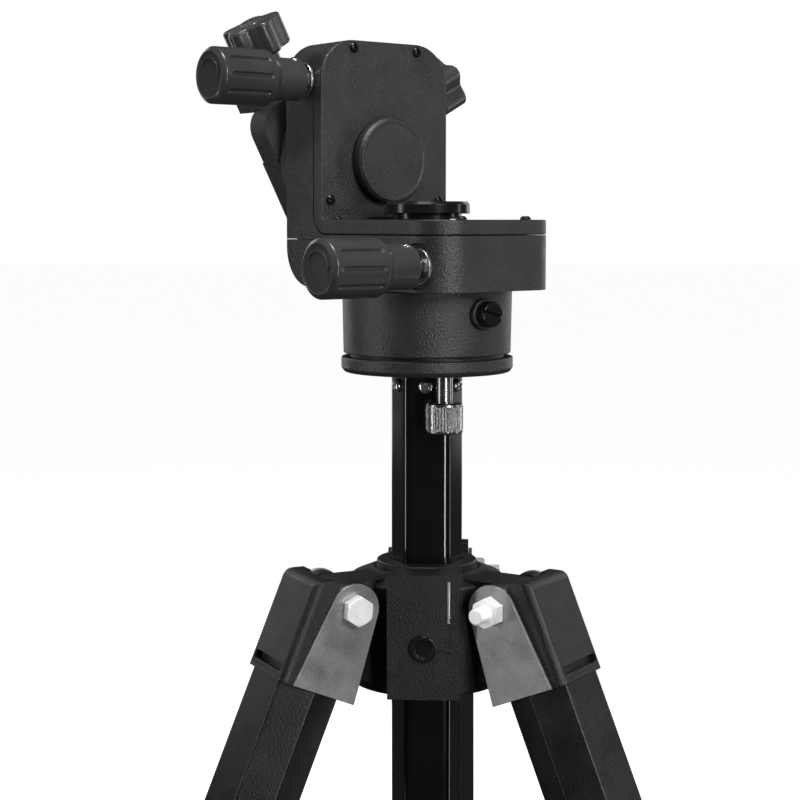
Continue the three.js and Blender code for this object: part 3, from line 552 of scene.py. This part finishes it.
cover_screw = pan_head(2.6, 1.7)
COVER_SCREWS = [((x, COVER_FRONT_Y, 76.0), (0, -1, 0)) for x in (-20, 20)]
COVER_SCREWS += [((x, COVER_FRONT_Y, 0.5), (0, -1, 0)) for x in (-34.5, 34.5)]
COVER_SCREWS += [((x, -50.0, COVER_TOP_Z), (0, 0, 1)) for x in (-20, 20)]
COVER_SCREWS += [((x, 28.0, COVER_TOP_Z), (0, 0, 1)) for x in (-34.5, 34.5)]
for number, (point, direction) in enumerate(COVER_SCREWS, 1):
    place = HEAD @ facing(point, direction, 25 * number)
    piece(f"cover_screw_{number}", cover_screw.copy(), place, black_screw,
          body="azimuth_head", bevel=0.08)


# ---------------------------------------------------------------- slow-motion knobs

def knob_profile():
    """Points (radius, distance from the head) along a knob, close together along its grip."""
    neck_r, grip_r, grip = KNOB["neck_r"], KNOB["grip_r"], KNOB["grip"]
    neck_start = KNOB_INNER_X - KNOB_NECK_X
    start = rounded([
        (0, neck_start), (neck_r, neck_start, 0.6), (neck_r, KNOB["neck"], 1.5),
        (grip_r, KNOB["shoulder"], 1.2), (grip_r, KNOB["shoulder"] + 2),
    ], closed=False)
    rows = 30
    first = KNOB["shoulder"] + 2
    along = [(grip_r, first + (grip - 1 - first) * k / rows) for k in range(1, rows + 1)]
    length = KNOB["length"]
    end = rounded([
        (grip_r, grip - 0.5), (grip_r, grip + 1.2, 1.4), (grip_r - 1.6, length - 0.9, 0.5),
        (grip_r - 2.4, length - 0.4, 0.3), (grip_r - 2.9, length - 0.9, 0.3), (0, length - 0.5),
    ], closed=False)
    return start + along + end[1:]


def grooved(r, h, angle):
    """The grip's radius: long narrow channels with rounded ends."""
    pitch = 2 * math.pi / KNOB_GROOVES
    off = (angle + pitch / 2) % pitch - pitch / 2
    across = off * KNOB["grip_r"] / GROOVE["half_width"]
    end = GROOVE["end"]
    low, high = KNOB["shoulder"] + 2.2, KNOB["grip"] - 1.5
    beyond = max(low + end - h, 0, h - (high - end)) / end
    inside = 1 - across * across - beyond * beyond
    return r - GROOVE["depth"] * min(1.0, max(0.0, inside) * 1.8)


def turn_mark():
    """A curved arrow that stands a little proud of the knob's end."""
    sweep = [math.radians(40 + 130 * k / 16) for k in range(17)]
    outer, inner = 8.6, 7.6
    line = [(outer * math.cos(a), outer * math.sin(a)) for a in sweep]
    line += [(inner * math.cos(a), inner * math.sin(a)) for a in reversed(sweep)]
    tip = math.radians(192)
    base = sweep[-1]
    head = [(7.0 * math.cos(base), 7.0 * math.sin(base)), (9.4 * math.cos(base), 9.4 * math.sin(base)),
            (8.1 * math.cos(tip), 8.1 * math.sin(tip))]
    return line, head


def slow_motion_knob(name, worm):
    at = (0, worm["y"], worm["z"])
    profile = [(r, KNOB_INNER_X - h) for r, h in knob_profile()]
    shape = lambda r, x, angle: grooved(r, KNOB_INNER_X - x, angle) if r > KNOB["neck_r"] + 1 else r
    body = turned(profile, "x", at, 240, shape)
    bore = rod(WORM_SHAFT_R + GAP, KNOB_INNER_X - 12, KNOB_INNER_X + 1, "x", at)
    piece(name + "_moulding", cut(body, bore), HEAD, grip, name, bevel=0, sharp=50)
    face = KNOB_INNER_X - KNOB["length"] + 0.75
    for part, outline in zip(("line", "head"), turn_mark()):
        points = [(worm["y"] + a, worm["z"] + b) for a, b in outline]
        piece(f"{name}_mark_{part}", prism(points, face - 0.55, face, "x"), HEAD, grip,
              body=BODY_OF[name], bevel=0.12)
    place = HEAD @ facing((KNOB_INNER_X - 5, worm["y"] - 3, worm["z"] + KNOB["neck_r"] - 0.6), (0, -0.28, 1))
    piece(name + "_set_screw", pan_head(2.1, 0.8), place, chrome,
          body=BODY_OF[name], bevel=0.06)


def worm_bush(name, worm, outer_x, flange_r, inner):
    bore = WORM_SHAFT_R + GAP
    profile = rounded([
        (bore, inner), (BUSH_R, inner), (BUSH_R, outer_x + 1.5), (flange_r, outer_x + 1.5, 0.2),
        (flange_r, outer_x, 0.5), (bore + 2.6, outer_x, 0.3), (bore + 2.2, outer_x + 0.7, 0.2),
        (bore, outer_x + 0.7), (bore, inner),
    ], closed=False)
    at = (0, worm["y"], worm["z"])
    piece(name + "_ring", turned(profile, "x", at, 72), HEAD, steel, name, bevel=0)


slow_motion_knob("altitude_knob", ALTITUDE_WORM)
slow_motion_knob("azimuth_knob", AZIMUTH_WORM)
worm_bush("altitude_worm_bush", ALTITUDE_WORM, -HEAD_HALF - GAP - 1.5, 9, -35)
worm_bush("azimuth_worm_bush", AZIMUTH_WORM, -38.8, 8.5, -34)


# ---------------------------------------------------------------- turning base

def base_drum():
    r, foot_r, top, bottom = DRUM["r"], DRUM["foot_r"], DRUM["top"], DRUM["bottom"]
    bore, roof, hole = DRUM["bore"], DRUM["roof"], SPINDLE_R + 2 * GAP
    profile = rounded([
        (hole, top), (r, top, 0.8), (foot_r, bottom, 0.7), (bore, bottom), (bore, top - roof),
        (hole, top - roof), (hole, top),
    ], closed=False)
    shell = turned(profile, segments=160)
    at = (0, 0, LOCK["z"])
    boss = turned(rounded([
        (0, -r + 4), (LOCK["boss_r"], -r + 4), (LOCK["boss_r"], -LOCK["boss_end"], 0.8),
        (0, -LOCK["boss_end"]),
    ], closed=False), "y", at, 64)
    return cut(join(shell, boss), rod(LOCK["shank_r"] + GAP, -LOCK["boss_end"] - 1, -bore + 1, "y", at))


def lock_screw():
    r, face = LOCK["r"], LOCK["face"]
    under = -LOCK["boss_end"] - GAP
    profile = rounded([
        (0, -LOCK["tip"]), (LOCK["shank_r"], -LOCK["tip"]), (LOCK["shank_r"], under), (r, under, 0.3),
        (r, -face, 0.9), (0, -face),
    ], closed=False)
    screw = turned(profile, "y", (0, 0, 0), 72)
    slot_turn = Matrix.Rotation(math.radians(LOCK["turn"]), 4, "Y")
    slot = moved(block(-r - 1, r + 1, -face - 1, -face + 2, -0.9, 0.9), slot_turn)
    return moved(cut(screw, slot), Matrix.Translation((0, 0, LOCK["z"])))


def base_ring():
    r, neck_r, top, bottom = RING["r"], RING["neck_r"], RING["top"], RING["bottom"]
    hole = SPINDLE_R + GAP
    profile = rounded([
        (hole, bottom), (r - 1.6, bottom, 1.5), (r, bottom + 2.2, 1.5), (r, top, 0.7), (neck_r, top),
        (neck_r, RING["neck_top"]), (hole, RING["neck_top"]), (hole, bottom),
    ], closed=False)
    tapped = rod(THUMB["shank_r"] + GAP, bottom - 1, bottom + 6, at=(THUMB["x"], THUMB["y"], 0))
    return cut(turned(profile, segments=160), tapped)


def thumbscrew():
    """A round head with straight knurling between two plain rims."""
    r, top, bottom, shank_r = THUMB["r"], THUMB["top"], THUMB["bottom"], THUMB["shank_r"]
    rows = [(r, bottom + 2 + (top - bottom - 4) * k / 4) for k in range(5)]
    profile = [(0, bottom), (r - 0.9, bottom), (r - 0.2, bottom + 0.7), (r - 0.2, bottom + 1.7), *rows,
               (r - 0.2, top - 1.7), (r - 0.2, top - 0.7), (r - 0.9, top), (shank_r, top),
               (shank_r, RING["bottom"] + 5.5), (0, RING["bottom"] + 5.5)]
    teeth = 34

    def knurl(radius, height, angle):
        if radius < r - 1e-3:
            return radius
        return radius - 0.75 * (0.5 - 0.5 * math.cos(teeth * angle)) ** 2

    return turned(profile, at=(THUMB["x"], THUMB["y"], 0), segments=teeth * 8, shape=knurl)


piece("base_drum_casting", base_drum(), HEAD, casting, "base_drum", bevel=0.3)
piece("azimuth_lock_screw_head", lock_screw(), HEAD, black_screw, "azimuth_lock_screw", bevel=0.25)
piece("base_ring_casting", base_ring(), POST, casting, "base_ring", bevel=0)
piece("head_thumbscrew_knurled", thumbscrew(), POST, nickel, "head_thumbscrew", bevel=0, sharp=50)


# ---------------------------------------------------------------- saddle

def star_knob(neck, star, end, turn):
    """A round-lobed knob about z on a plain collar, with a shallow seat in its end for a metal button."""
    r, valley, lobes = STAR["r"], STAR["valley"], STAR["lobes"]
    middle, swing = (r + valley) / 2, (r - valley) / 2

    def lobed(radius, height, angle):
        share = radius / r
        wave = math.cos(lobes * (angle - math.radians(turn)))
        return share * (middle + swing * wave)

    profile = rounded([
        (0, star), (r, star, 1.6), (r, end, 1.6), (6.5, end, 0.3), (6.0, end - 0.8, 0.3), (0, end - 0.8),
    ], closed=False)
    body = turned(profile, segments=200, shape=lobed)
    collar = turned(rounded([
        (0, neck), (STAR["neck_r"], neck, 0.7), (STAR["neck_r"], star + 1), (0, star + 1),
    ], closed=False), segments=72)
    return cut(join(body, collar), rod(CLAMP_SCREW_R + GAP, neck - 1, star + SCREW_ENTRY))


def saddle_body():
    half, front, seat, back = SADDLE["half"], SADDLE["front"], SADDLE["seat"], SADDLE["back"]
    low, high = SADDLE["low"], SADDLE["high"]
    floor = seat - SEAT_PAD["height"]
    plate = prism(rectangle(-half, half, low, high, (12, 12, 12, 12)), front, floor, "y")
    pad = block(-half, half, floor - 1, seat, -SEAT_PAD["half"], SEAT_PAD["half"])
    jaw = prism([
        (floor - 1, low + 4), (back, low + 4), (back, -JAW["mouth"]), (seat, -JAW["seat"]),
        (floor - 1, -JAW["seat"]),
    ], -JAW["half"], JAW["half"], "x")
    wall_half, wall_low, wall_high = CLAMP_WALL["half"], CLAMP_WALL["low"], CLAMP_WALL["high"]
    wall = block(-wall_half, wall_half, front + 9, back, wall_low, wall_high)
    clamp_at = (CLAMP["x"], CLAMP["y"], 0)
    clamp_hole = rod(CLAMP_SCREW_R + GAP, wall_low - 1, wall_high + 1, at=clamp_at)
    clutch_hole = rod(CLAMP_SCREW_R + GAP, CLUTCH["hole"], half + 1, "x", (0, CLUTCH["y"], CLUTCH["z"]))
    return cut(join(plate, pad, jaw, wall), clamp_hole, clutch_hole)


def moving_jaw():
    seat, back = SADDLE["seat"], SADDLE["back"]
    under = seat - SEAT_PAD["height"] + GAP
    outline = [(under, JAW["seat"]), (seat, JAW["seat"]), (back, JAW["mouth"]), (back, JAW["outer"]),
               (under, JAW["outer"])]
    return prism(outline, -JAW["half"], JAW["half"], "x")


piece("saddle_body_casting", saddle_body(), SADDLE_FRAME, casting, "saddle_body", bevel=1.0)
piece("saddle_moving_jaw_casting", moving_jaw(), SADDLE_FRAME, casting, "saddle_moving_jaw", bevel=0.6)
clamp_place = SADDLE_FRAME @ Matrix.Translation((CLAMP["x"], CLAMP["y"], 0))
clutch_place = SADDLE_FRAME @ facing((0, CLUTCH["y"], CLUTCH["z"]), (1, 0, 0))
for label, dims, place in (("saddle_clamp", CLAMP, clamp_place), ("altitude_clutch", CLUTCH, clutch_place)):
    knob = star_knob(dims["neck"], dims["star"], dims["end"], dims["turn"])
    piece(label + "_knob_moulding", knob, place, grip, label + "_knob", bevel=0, sharp=50)
    button = turned(rounded([
        (0, dims["end"] - 0.7), (5.2, dims["end"] - 0.7), (5.2, dims["end"] - 0.1, 0.4),
        (0, dims["end"] - 0.1),
    ], closed=False), segments=48)
    piece(label + "_knob_button", button, place, steel, body=label, bevel=0)


# ---------------------------------------------------------------- column

def hexagon(section, inset=0.0, r=0.0):
    """An elongated hexagon, drawn inwards by an inset, with its flats facing front and back."""
    slope = Vector((section["half_depth"], section["half_width"] - section["half_flat"])).normalized()
    w = section["half_width"] - inset / slope.x
    d = section["half_depth"] - inset
    f = w - d * slope.y / slope.x
    return rounded([(w, 0, r), (f, d, r), (-f, d, r), (-w, 0, r), (-f, -d, r), (f, -d, r)])


column_bottom = COLUMN_TOP - COLUMN_LENGTH
column_shell = prism(hexagon(COLUMN, 0, 4.5), column_bottom, COLUMN_TOP)
column_hollow = prism(hexagon(COLUMN, COLUMN["wall"]), column_bottom - 1, COLUMN_TOP + 1)
piece("column_extrusion", cut(column_shell, column_hollow), POST, column_tube, "column", bevel=0.3)
column_plug = prism(hexagon(COLUMN, COLUMN["wall"] + GAP), column_bottom - 1, column_bottom + 14)
column_foot = prism(hexagon(COLUMN, 0, 2), column_bottom - 6, column_bottom - GAP)
piece("column_end_cap_moulding", join(column_foot, column_plug), POST, plastic, "column_end_cap", bevel=0.8)

column_screw = pan_head(3.4, 2.2)
column_screws = [
    ((-1, -COLUMN["half_depth"], COLUMN_TOP_SCREW_Z), (0, -1, 0)),
    ((1, COLUMN["half_depth"], COLUMN_TOP_SCREW_Z), (0, 1, 0)),
]
slope = Vector((COLUMN["half_depth"], COLUMN["half_width"] - COLUMN["half_flat"]))
side_middle_x = (COLUMN["half_width"] + COLUMN["half_flat"]) / 2
for side in (-1, 1):
    on_side = (side_middle_x * side, -COLUMN["half_depth"] / 2, COLUMN_TOP_SCREW_Z)
    column_screws.append((on_side, (slope.x * side, -slope.y, 0)))
for number, (point, direction) in enumerate(column_screws, 1):
    piece(f"column_screw_{number}", column_screw.copy(), POST @ facing(point, direction, 20), chrome,
          body="column", bevel=0.08)


# ---------------------------------------------------------------- crown of the stand

def crown():
    bottom, skirt_r, shoulder = CROWN["bottom"], CROWN["skirt_r"], CROWN["shoulder"]
    collar_r, collar_top, dome_top = CROWN["collar_r"], CROWN["collar_top"], CROWN["dome_top"]
    body = turned(rounded([
        (0, bottom), (skirt_r, bottom, 1.2), (skirt_r, shoulder, 2.0), (CROWN["dome_r"], dome_top, 0.8),
        (collar_r, dome_top), (collar_r, collar_top, 1.0), (0, collar_top),
    ], closed=False), segments=96)
    flats, additions, holes = [], [], []
    for leg in LEGS:
        outwards = STAND.inverted() @ LEG_FRAMES[leg].translation
        turn = Matrix.Rotation(math.atan2(outwards.y, outwards.x), 4, "Z")
        arm_half, arm_r = CROWN_ARM["half"], CROWN_ARM["r"]
        flat = block(CROWN_FLAT_X, CROWN_FLAT_X + 40, -25, 25, PIVOT_Z - 40, PIVOT_Z + 40)
        flats.append(moved(flat, turn))
        arm = block(0, PIVOT_RADIUS, -arm_half, arm_half, PIVOT_Z - arm_r, PIVOT_Z + arm_r)
        pivot = (PIVOT_RADIUS, 0, PIVOT_Z)
        eye = rod(arm_r, -arm_half, arm_half, "y", pivot)
        additions += [moved(shape, turn) for shape in (arm, eye)]
        holes.append(moved(rod(BOLT["r"] + GAP, -30, 30, "y", pivot, 32), turn))
    body = join(cut(body, *flats), *additions)
    front, wide = CROWN_BLOCK["front"], CROWN_BLOCK["half"]
    clamp_block = block(-wide, wide, front, -20, bottom, CROWN_BLOCK["top"])
    screw_hole = rod(4 + GAP, front - 1, 0, "y", (0, 0, COLUMN_SCREW["z"]))
    column_hole = prism(hexagon(COLUMN, -0.5), bottom - 1, collar_top + 1)
    column_hole = moved(column_hole, STAND.inverted() @ POST)
    seam_z = COLUMN_SCREW["z"] - 1.9
    seam = block(wide - 14, wide + 1, front - 1, front + 0.9, seam_z - 0.7, seam_z + 0.7)
    return cut(join(body, clamp_block), *holes, screw_hole, column_hole, seam)


def column_clamp_screw():
    face = CROWN_BLOCK["front"] - GAP
    r = COLUMN_SCREW["r"]
    profile = rounded([
        (0, -COLUMN["half_depth"] - 0.8), (4, -COLUMN["half_depth"] - 0.8), (4, face), (r, face, 0.2),
        (r, face - 1.9, 0.6), (r - 2.0, face - 1.9, 0.3), (r - 2.4, face - 0.9, 0.3), (0, face - 0.9),
    ], closed=False)
    return turned(profile, "y", (0, 0, COLUMN_SCREW["z"]), 72)


piece("tripod_crown_moulding", crown(), STAND, plastic, "tripod_crown", bevel=0.7)
piece("column_clamp_screw_head", column_clamp_screw(), STAND, black_screw, "column_clamp_screw", bevel=0)

# A thin raised rib down the clamp block's front, in bright steel so that it makes the edge's bright line: a
# painted highlight. The plastic tab sits below it.
highlight_bead_x, highlight_bead_top = 12.2, CROWN_BLOCK["top"] - 3
highlight_bead = prism(circle(0.7, highlight_bead_x, CROWN_BLOCK["front"], 24), -201.5, highlight_bead_top)
piece("clamp_block_highlight_bead", highlight_bead, STAND, steel, body="crown", bevel=0.1)
tab = prism(rectangle(highlight_bead_x + 0.6, CROWN_BLOCK["half"] - 0.3, -213, -201.5, (0.6, 0.6, 0.6, 0.6)),
            CROWN_BLOCK["front"] - 0.5, CROWN_BLOCK["front"] + 0.5, "y")
piece("clamp_block_tab", tab, STAND, plastic, body="crown", bevel=0.15)


# ---------------------------------------------------------------- legs

def leg_prism(inset, low, high, r=0.0):
    """The leg's hexagon lies with its long way along the pivot bolt."""
    points = [(LEG_OFFSET - b, a) for a, b in hexagon(LEG, inset, r)]
    return prism(points, low, high)


def leg_head():
    """The moulded head: two cheeks round the crown's arm, under a sloping hood."""
    half, outer, inner = LEG_HEAD["half"], LEG_HEAD["outer"], LEG_HEAD["inner"]
    bottom, crest, slot = LEG_HEAD["bottom"], LEG_HEAD["crest"], LEG_HEAD["slot"]
    c, s = math.cos(SPLAY), math.sin(SPLAY)

    def level(out, up, radius=0.0):
        """A point given level with the ground, out from and above the pivot."""
        return (out * c + up * s, -out * s + up * c, radius)

    hood = rounded([
        (inner, bottom), (outer, bottom), level((outer - crest * s) / c, crest, 9), level(7.5, crest, 1.5),
        level(7.5, 9), (inner, 0),
    ])
    plan = prism(rectangle(inner - 30, outer, -half, half, (0, 5.5, 5.5, 0)), bottom - 1, 60)
    cheeks = join(common(prism(hood, -half, half, "y"), plan), rod(LEG_HEAD["boss"], -half, half, "y"))
    spigot = leg_prism(LEG["wall"] + 0.8, bottom - 18, bottom + 4)
    room = block(inner - 5, 16, -slot, slot, -24, 40)
    room_round = rod(16, -slot, slot, "y")
    hole = rod(BOLT["r"] + GAP, -half - 1, half + 1, "y")
    panel = rectangle(-half + 2.2, half - 2.2, bottom + 2.2, 11, (1, 1, 3, 3))
    panel = prism(panel, outer - 0.8, outer + 1, "x")
    window = rectangle(-half + 4, half - 4, bottom + 4, bottom + 8, (1, 1, 1, 1))
    window = prism(window, outer - 4, outer + 1, "x")
    return join(cut(cheeks, room, room_round, hole, panel, window), spigot)


def leg_plate(side):
    """A stamped side plate: straight sides, tangent to a round top about the bolt."""
    near = LEG_HEAD["half"] + GAP
    top_r, half_foot, bottom = LEG_PLATE["top_r"], LEG_PLATE["half_foot"], LEG_PLATE["bottom"]
    lean = math.acos(top_r / math.hypot(half_foot, bottom)) + math.atan2(bottom, half_foot)
    turns = (lean + (math.pi - 2 * lean) * k / 36 for k in range(37))
    outline = [(-half_foot, bottom), (half_foot, bottom)]
    outline += [(top_r * math.cos(a), top_r * math.sin(a)) for a in turns]
    low, high = sorted((side * near, side * (near + LEG_PLATE["thick"])))
    return cut(prism(outline, low, high, "y"), rod(BOLT["r"] + GAP, -40, 40, "y", segments=48))


def hexagonal(r, low, high, turn=0.0):
    """A hexagon nut or head along y with its corners turned down."""
    corners = [(r * math.cos(math.radians(60 * k + turn)), r * math.sin(math.radians(60 * k + turn)))
               for k in range(6)]
    outer = low if abs(low) > abs(high) else high
    inner = high if outer == low else low
    towards = 1 if outer > inner else -1
    cone = turned([(0, inner), (r + 0.1, inner), (r + 0.1, outer - towards * 0.9), (r * 0.84, outer),
                   (0, outer)], "y", segments=72)
    return common(prism(corners, low, high, "y"), cone)


def pivot_bolt():
    face = LEG_HEAD["half"] + GAP + LEG_PLATE["thick"] + GAP
    nut_end = -face - BOLT["nut"]
    end = nut_end - BOLT["tip"]
    profile = [(0, face + 1), (BOLT["r"], face + 1)]
    turns = 7
    for k in range(turns):
        h = nut_end - (k + 0.5) * BOLT["tip"] / turns
        profile += [(BOLT["r"], h + 0.45), (BOLT["r"] - 0.5, h)]
    profile += [(BOLT["r"], end + 0.5), (BOLT["r"] - 0.7, end), (0, end)]
    shank = turned(profile, "y", segments=48)
    head = hexagonal(BOLT["head_r"], face, face + BOLT["head"], 12)
    nut = hexagonal(BOLT["head_r"], nut_end, -face, 7)
    return join(shank, head, nut)


def leg_clamp():
    top, bottom, screw = LEG_CLAMP["top"], LEG_CLAMP["bottom"], LEG_CLAMP["screw"]
    sleeve = leg_prism(-4, bottom, top, 3)
    lug = prism(circle(9, 0, screw), LEG_OFFSET + 14, LEG_OFFSET + 30, "x")
    upper_room = leg_prism(-GAP, UPPER_TUBE_END, top + 1)
    lower_room = leg_prism(LEG["wall"] + GAP, bottom - 1, UPPER_TUBE_END + 1)
    hole = rod(LEG_LOCK["shank_r"] + GAP, LEG_OFFSET, LEG_OFFSET + 40, "x", (0, 0, screw))
    return cut(join(sleeve, lug), upper_room, lower_room, hole)


def leg_lock_screw():
    start = LEG_OFFSET + LEG["half_depth"] - LEG["wall"] - 0.2
    outer, shank_r = LEG_OFFSET + LEG_LOCK["seat"], LEG_LOCK["shank_r"]
    end = outer + LEG_LOCK["height"]
    share = LEG_LOCK["share_of_star"]
    r, valley, lobes = STAR["r"] * share, STAR["valley"] * share, STAR["lobes"]

    def lobed(radius, height, angle):
        if height < outer - 0.1:
            return radius
        return radius / r * ((r + valley) / 2 + (r - valley) / 2 * math.cos(lobes * angle))

    profile = rounded([
        (0, start), (shank_r, start), (shank_r, outer), (r, outer, 1.2), (r, end, 1.6), (0, end),
    ], closed=False)
    return turned(profile, "x", (0, 0, LEG_CLAMP["screw"]), 160, lobed)


def foot():
    """The rubber foot: a round boot with grooves. Each leg's copy is trimmed level afterwards."""
    r, top, centre = FOOT["r"], FOOT["top"], FOOT["centre"]
    corners = [(0, top), (r - 1.5, top, 1), (r, top - 1.5, 1)]
    for k in range(3):
        h = top - 6 - 5 * k
        corners += [(r, h), (r - 1, h - 0.8, 0.4), (r, h - 1.6)]
    corners.append((r, centre))
    profile = rounded(corners, closed=False)
    steps = 16
    for k in range(1, steps + 1):
        angle = k / steps * math.pi / 2
        profile.append((r * math.cos(angle) if k < steps else 0, centre - r * math.sin(angle)))
    boot = turned(profile, at=(LEG_OFFSET, 0, 0), segments=96)
    pocket = leg_prism(LEG["wall"] + GAP, FOOT["socket"], top + 1)
    return cut(boot, pocket)


upper_tube = cut(
    leg_prism(0, UPPER_TUBE_END, LEG_HEAD["bottom"] - GAP, 1.4),
    leg_prism(LEG["wall"], UPPER_TUBE_END - 1, LEG_HEAD["bottom"] + 1),
)
lower_inset = LEG["wall"] + 0.6
lower_tube = cut(
    leg_prism(lower_inset, LOWER_TUBE["bottom"], LOWER_TUBE["top"], 1.2),
    leg_prism(lower_inset + 1.8, LOWER_TUBE["bottom"] - 1, LOWER_TUBE["top"] + 1),
)
boot = foot()
LEG_PARTS = {
    "leg_head": (leg_head(), plastic, 0.7, "moulding"),
    "leg_bolt_side_plate": (leg_plate(1), stamped, 0.25, "stamping"),
    "leg_nut_side_plate": (leg_plate(-1), stamped, 0.25, "stamping"),
    "pivot_bolt": (pivot_bolt(), zinc, 0.12, "fastener"),
    "upper_leg": (upper_tube, leg_tube, 0.3, "extrusion"),
    "leg_clamp": (leg_clamp(), plastic, 0.8, "moulding"),
    "leg_lock_screw": (leg_lock_screw(), grip, 0.0, "moulding"),
    "lower_leg": (lower_tube, leg_tube, 0.3, "extrusion"),
}
for leg in LEGS:
    place = LEG_FRAMES[leg]
    for part, (mesh, material, bevel, suffix) in LEG_PARTS.items():
        node = f"{leg}_{part}"
        piece(f"{node}_{suffix}", mesh.copy(), place, material, node, bevel=bevel)
    under_foot = Matrix.Translation((place.translation.x, place.translation.y, 0))
    to_leg = place.inverted() @ under_foot @ Matrix.Scale(MM, 4)
    floor_slab = moved(block(-1000, 1000, -1000, 1000, -60, 0), to_leg)
    piece(f"{leg}_foot_boot", cut(boot.copy(), floor_slab), place, rubber, f"{leg}_foot", bevel=0.5)


# ---------------------------------------------------------------- stage, lights and camera

def studio():
    """A pale floor that only the camera sees, and a white surround that hardly lights the object."""
    floor = prism(rectangle(-30, 30, -30, 30), -0.02, -0.0005)
    ground = linked("studio_floor", floor)
    ground.visible_diffuse = False
    ground.visible_glossy = False
    paper = bpy.data.materials.new("studio_floor")
    paper.use_nodes = True
    shader = paper.node_tree.nodes["Principled BSDF"]
    shader.inputs["Base Color"].default_value = (0.9, 0.9, 0.9, 1)
    shader.inputs["Roughness"].default_value = 0.9
    shader.inputs["Emission Color"].default_value = (1, 1, 1, 1)
    shader.inputs["Emission Strength"].default_value = 0.93
    floor.materials.append(paper)
    world = bpy.data.worlds.new("studio")
    world.use_nodes = True
    nodes, links = world.node_tree.nodes, world.node_tree.links
    background = nodes["Background"]
    background.inputs["Color"].default_value = (1, 1, 1, 1)
    rays = nodes.new("ShaderNodeLightPath")
    strength = nodes.new("ShaderNodeMapRange")
    strength.inputs["To Min"].default_value = AMBIENT
    strength.inputs["To Max"].default_value = 1.0
    links.new(rays.outputs["Is Camera Ray"], strength.inputs["Value"])
    links.new(strength.outputs["Result"], background.inputs["Strength"])
    bpy.context.scene.world = world


def softbox(name, position, target, width, height, power):
    light = bpy.data.lights.new(name, "AREA")
    light.shape = "RECTANGLE"
    light.size, light.size_y, light.energy = width, height, power
    obj = bpy.data.objects.new(name, light)
    obj.location = position
    aim = Vector(target) - Vector(position)
    obj.rotation_euler = aim.to_track_quat("-Z", "Y").to_euler()
    obj.visible_camera = False
    bpy.context.scene.collection.objects.link(obj)


studio()
bpy.context.scene.view_settings.view_transform = "Standard"
aim_at = datum - UP * 0.05
leg_aim = datum - UP * 0.3
softbox("key", datum + Vector((0.75, -1.15, 0.45)), aim_at, 0.35, 0.5, 13)
softbox("top", datum + Vector((-0.1, -0.35, 1.1)), aim_at, 0.5, 0.3, 16)
softbox("left", datum + Vector((-1.1, -0.25, -0.15)), aim_at - UP * 0.1, 0.15, 1.5, 5)
softbox("right", datum + Vector((1.1, 0.1, -0.15)), aim_at - UP * 0.1, 0.12, 1.5, 2.5)
softbox("low", datum + Vector((0.5, -1.25, -0.35)), leg_aim, 0.2, 0.3, 4)
softbox("back_left", datum + Vector((-0.9, 1.3, 0.2)), leg_aim, 0.8, 1.2, 4)
softbox("back_right", datum + Vector((0.9, 1.3, 0.2)), leg_aim, 0.8, 1.2, 4)
camera_data = bpy.data.cameras.new("camera")
camera_data.sensor_width = 36
camera_data.lens = 36 * FOCAL_SHARE
camera_data.shift_y = CAMERA_SHIFT
camera_data.clip_start = 0.01
camera = bpy.data.objects.new("camera", camera_data)
camera.location = datum + Vector((CAMERA_ASIDE, -CAMERA_BACK, -CAMERA_DROP))
camera.rotation_euler = (math.radians(90 - CAMERA_PITCH), 0, 0)
bpy.context.scene.collection.objects.link(camera)
bpy.context.scene.camera = camera
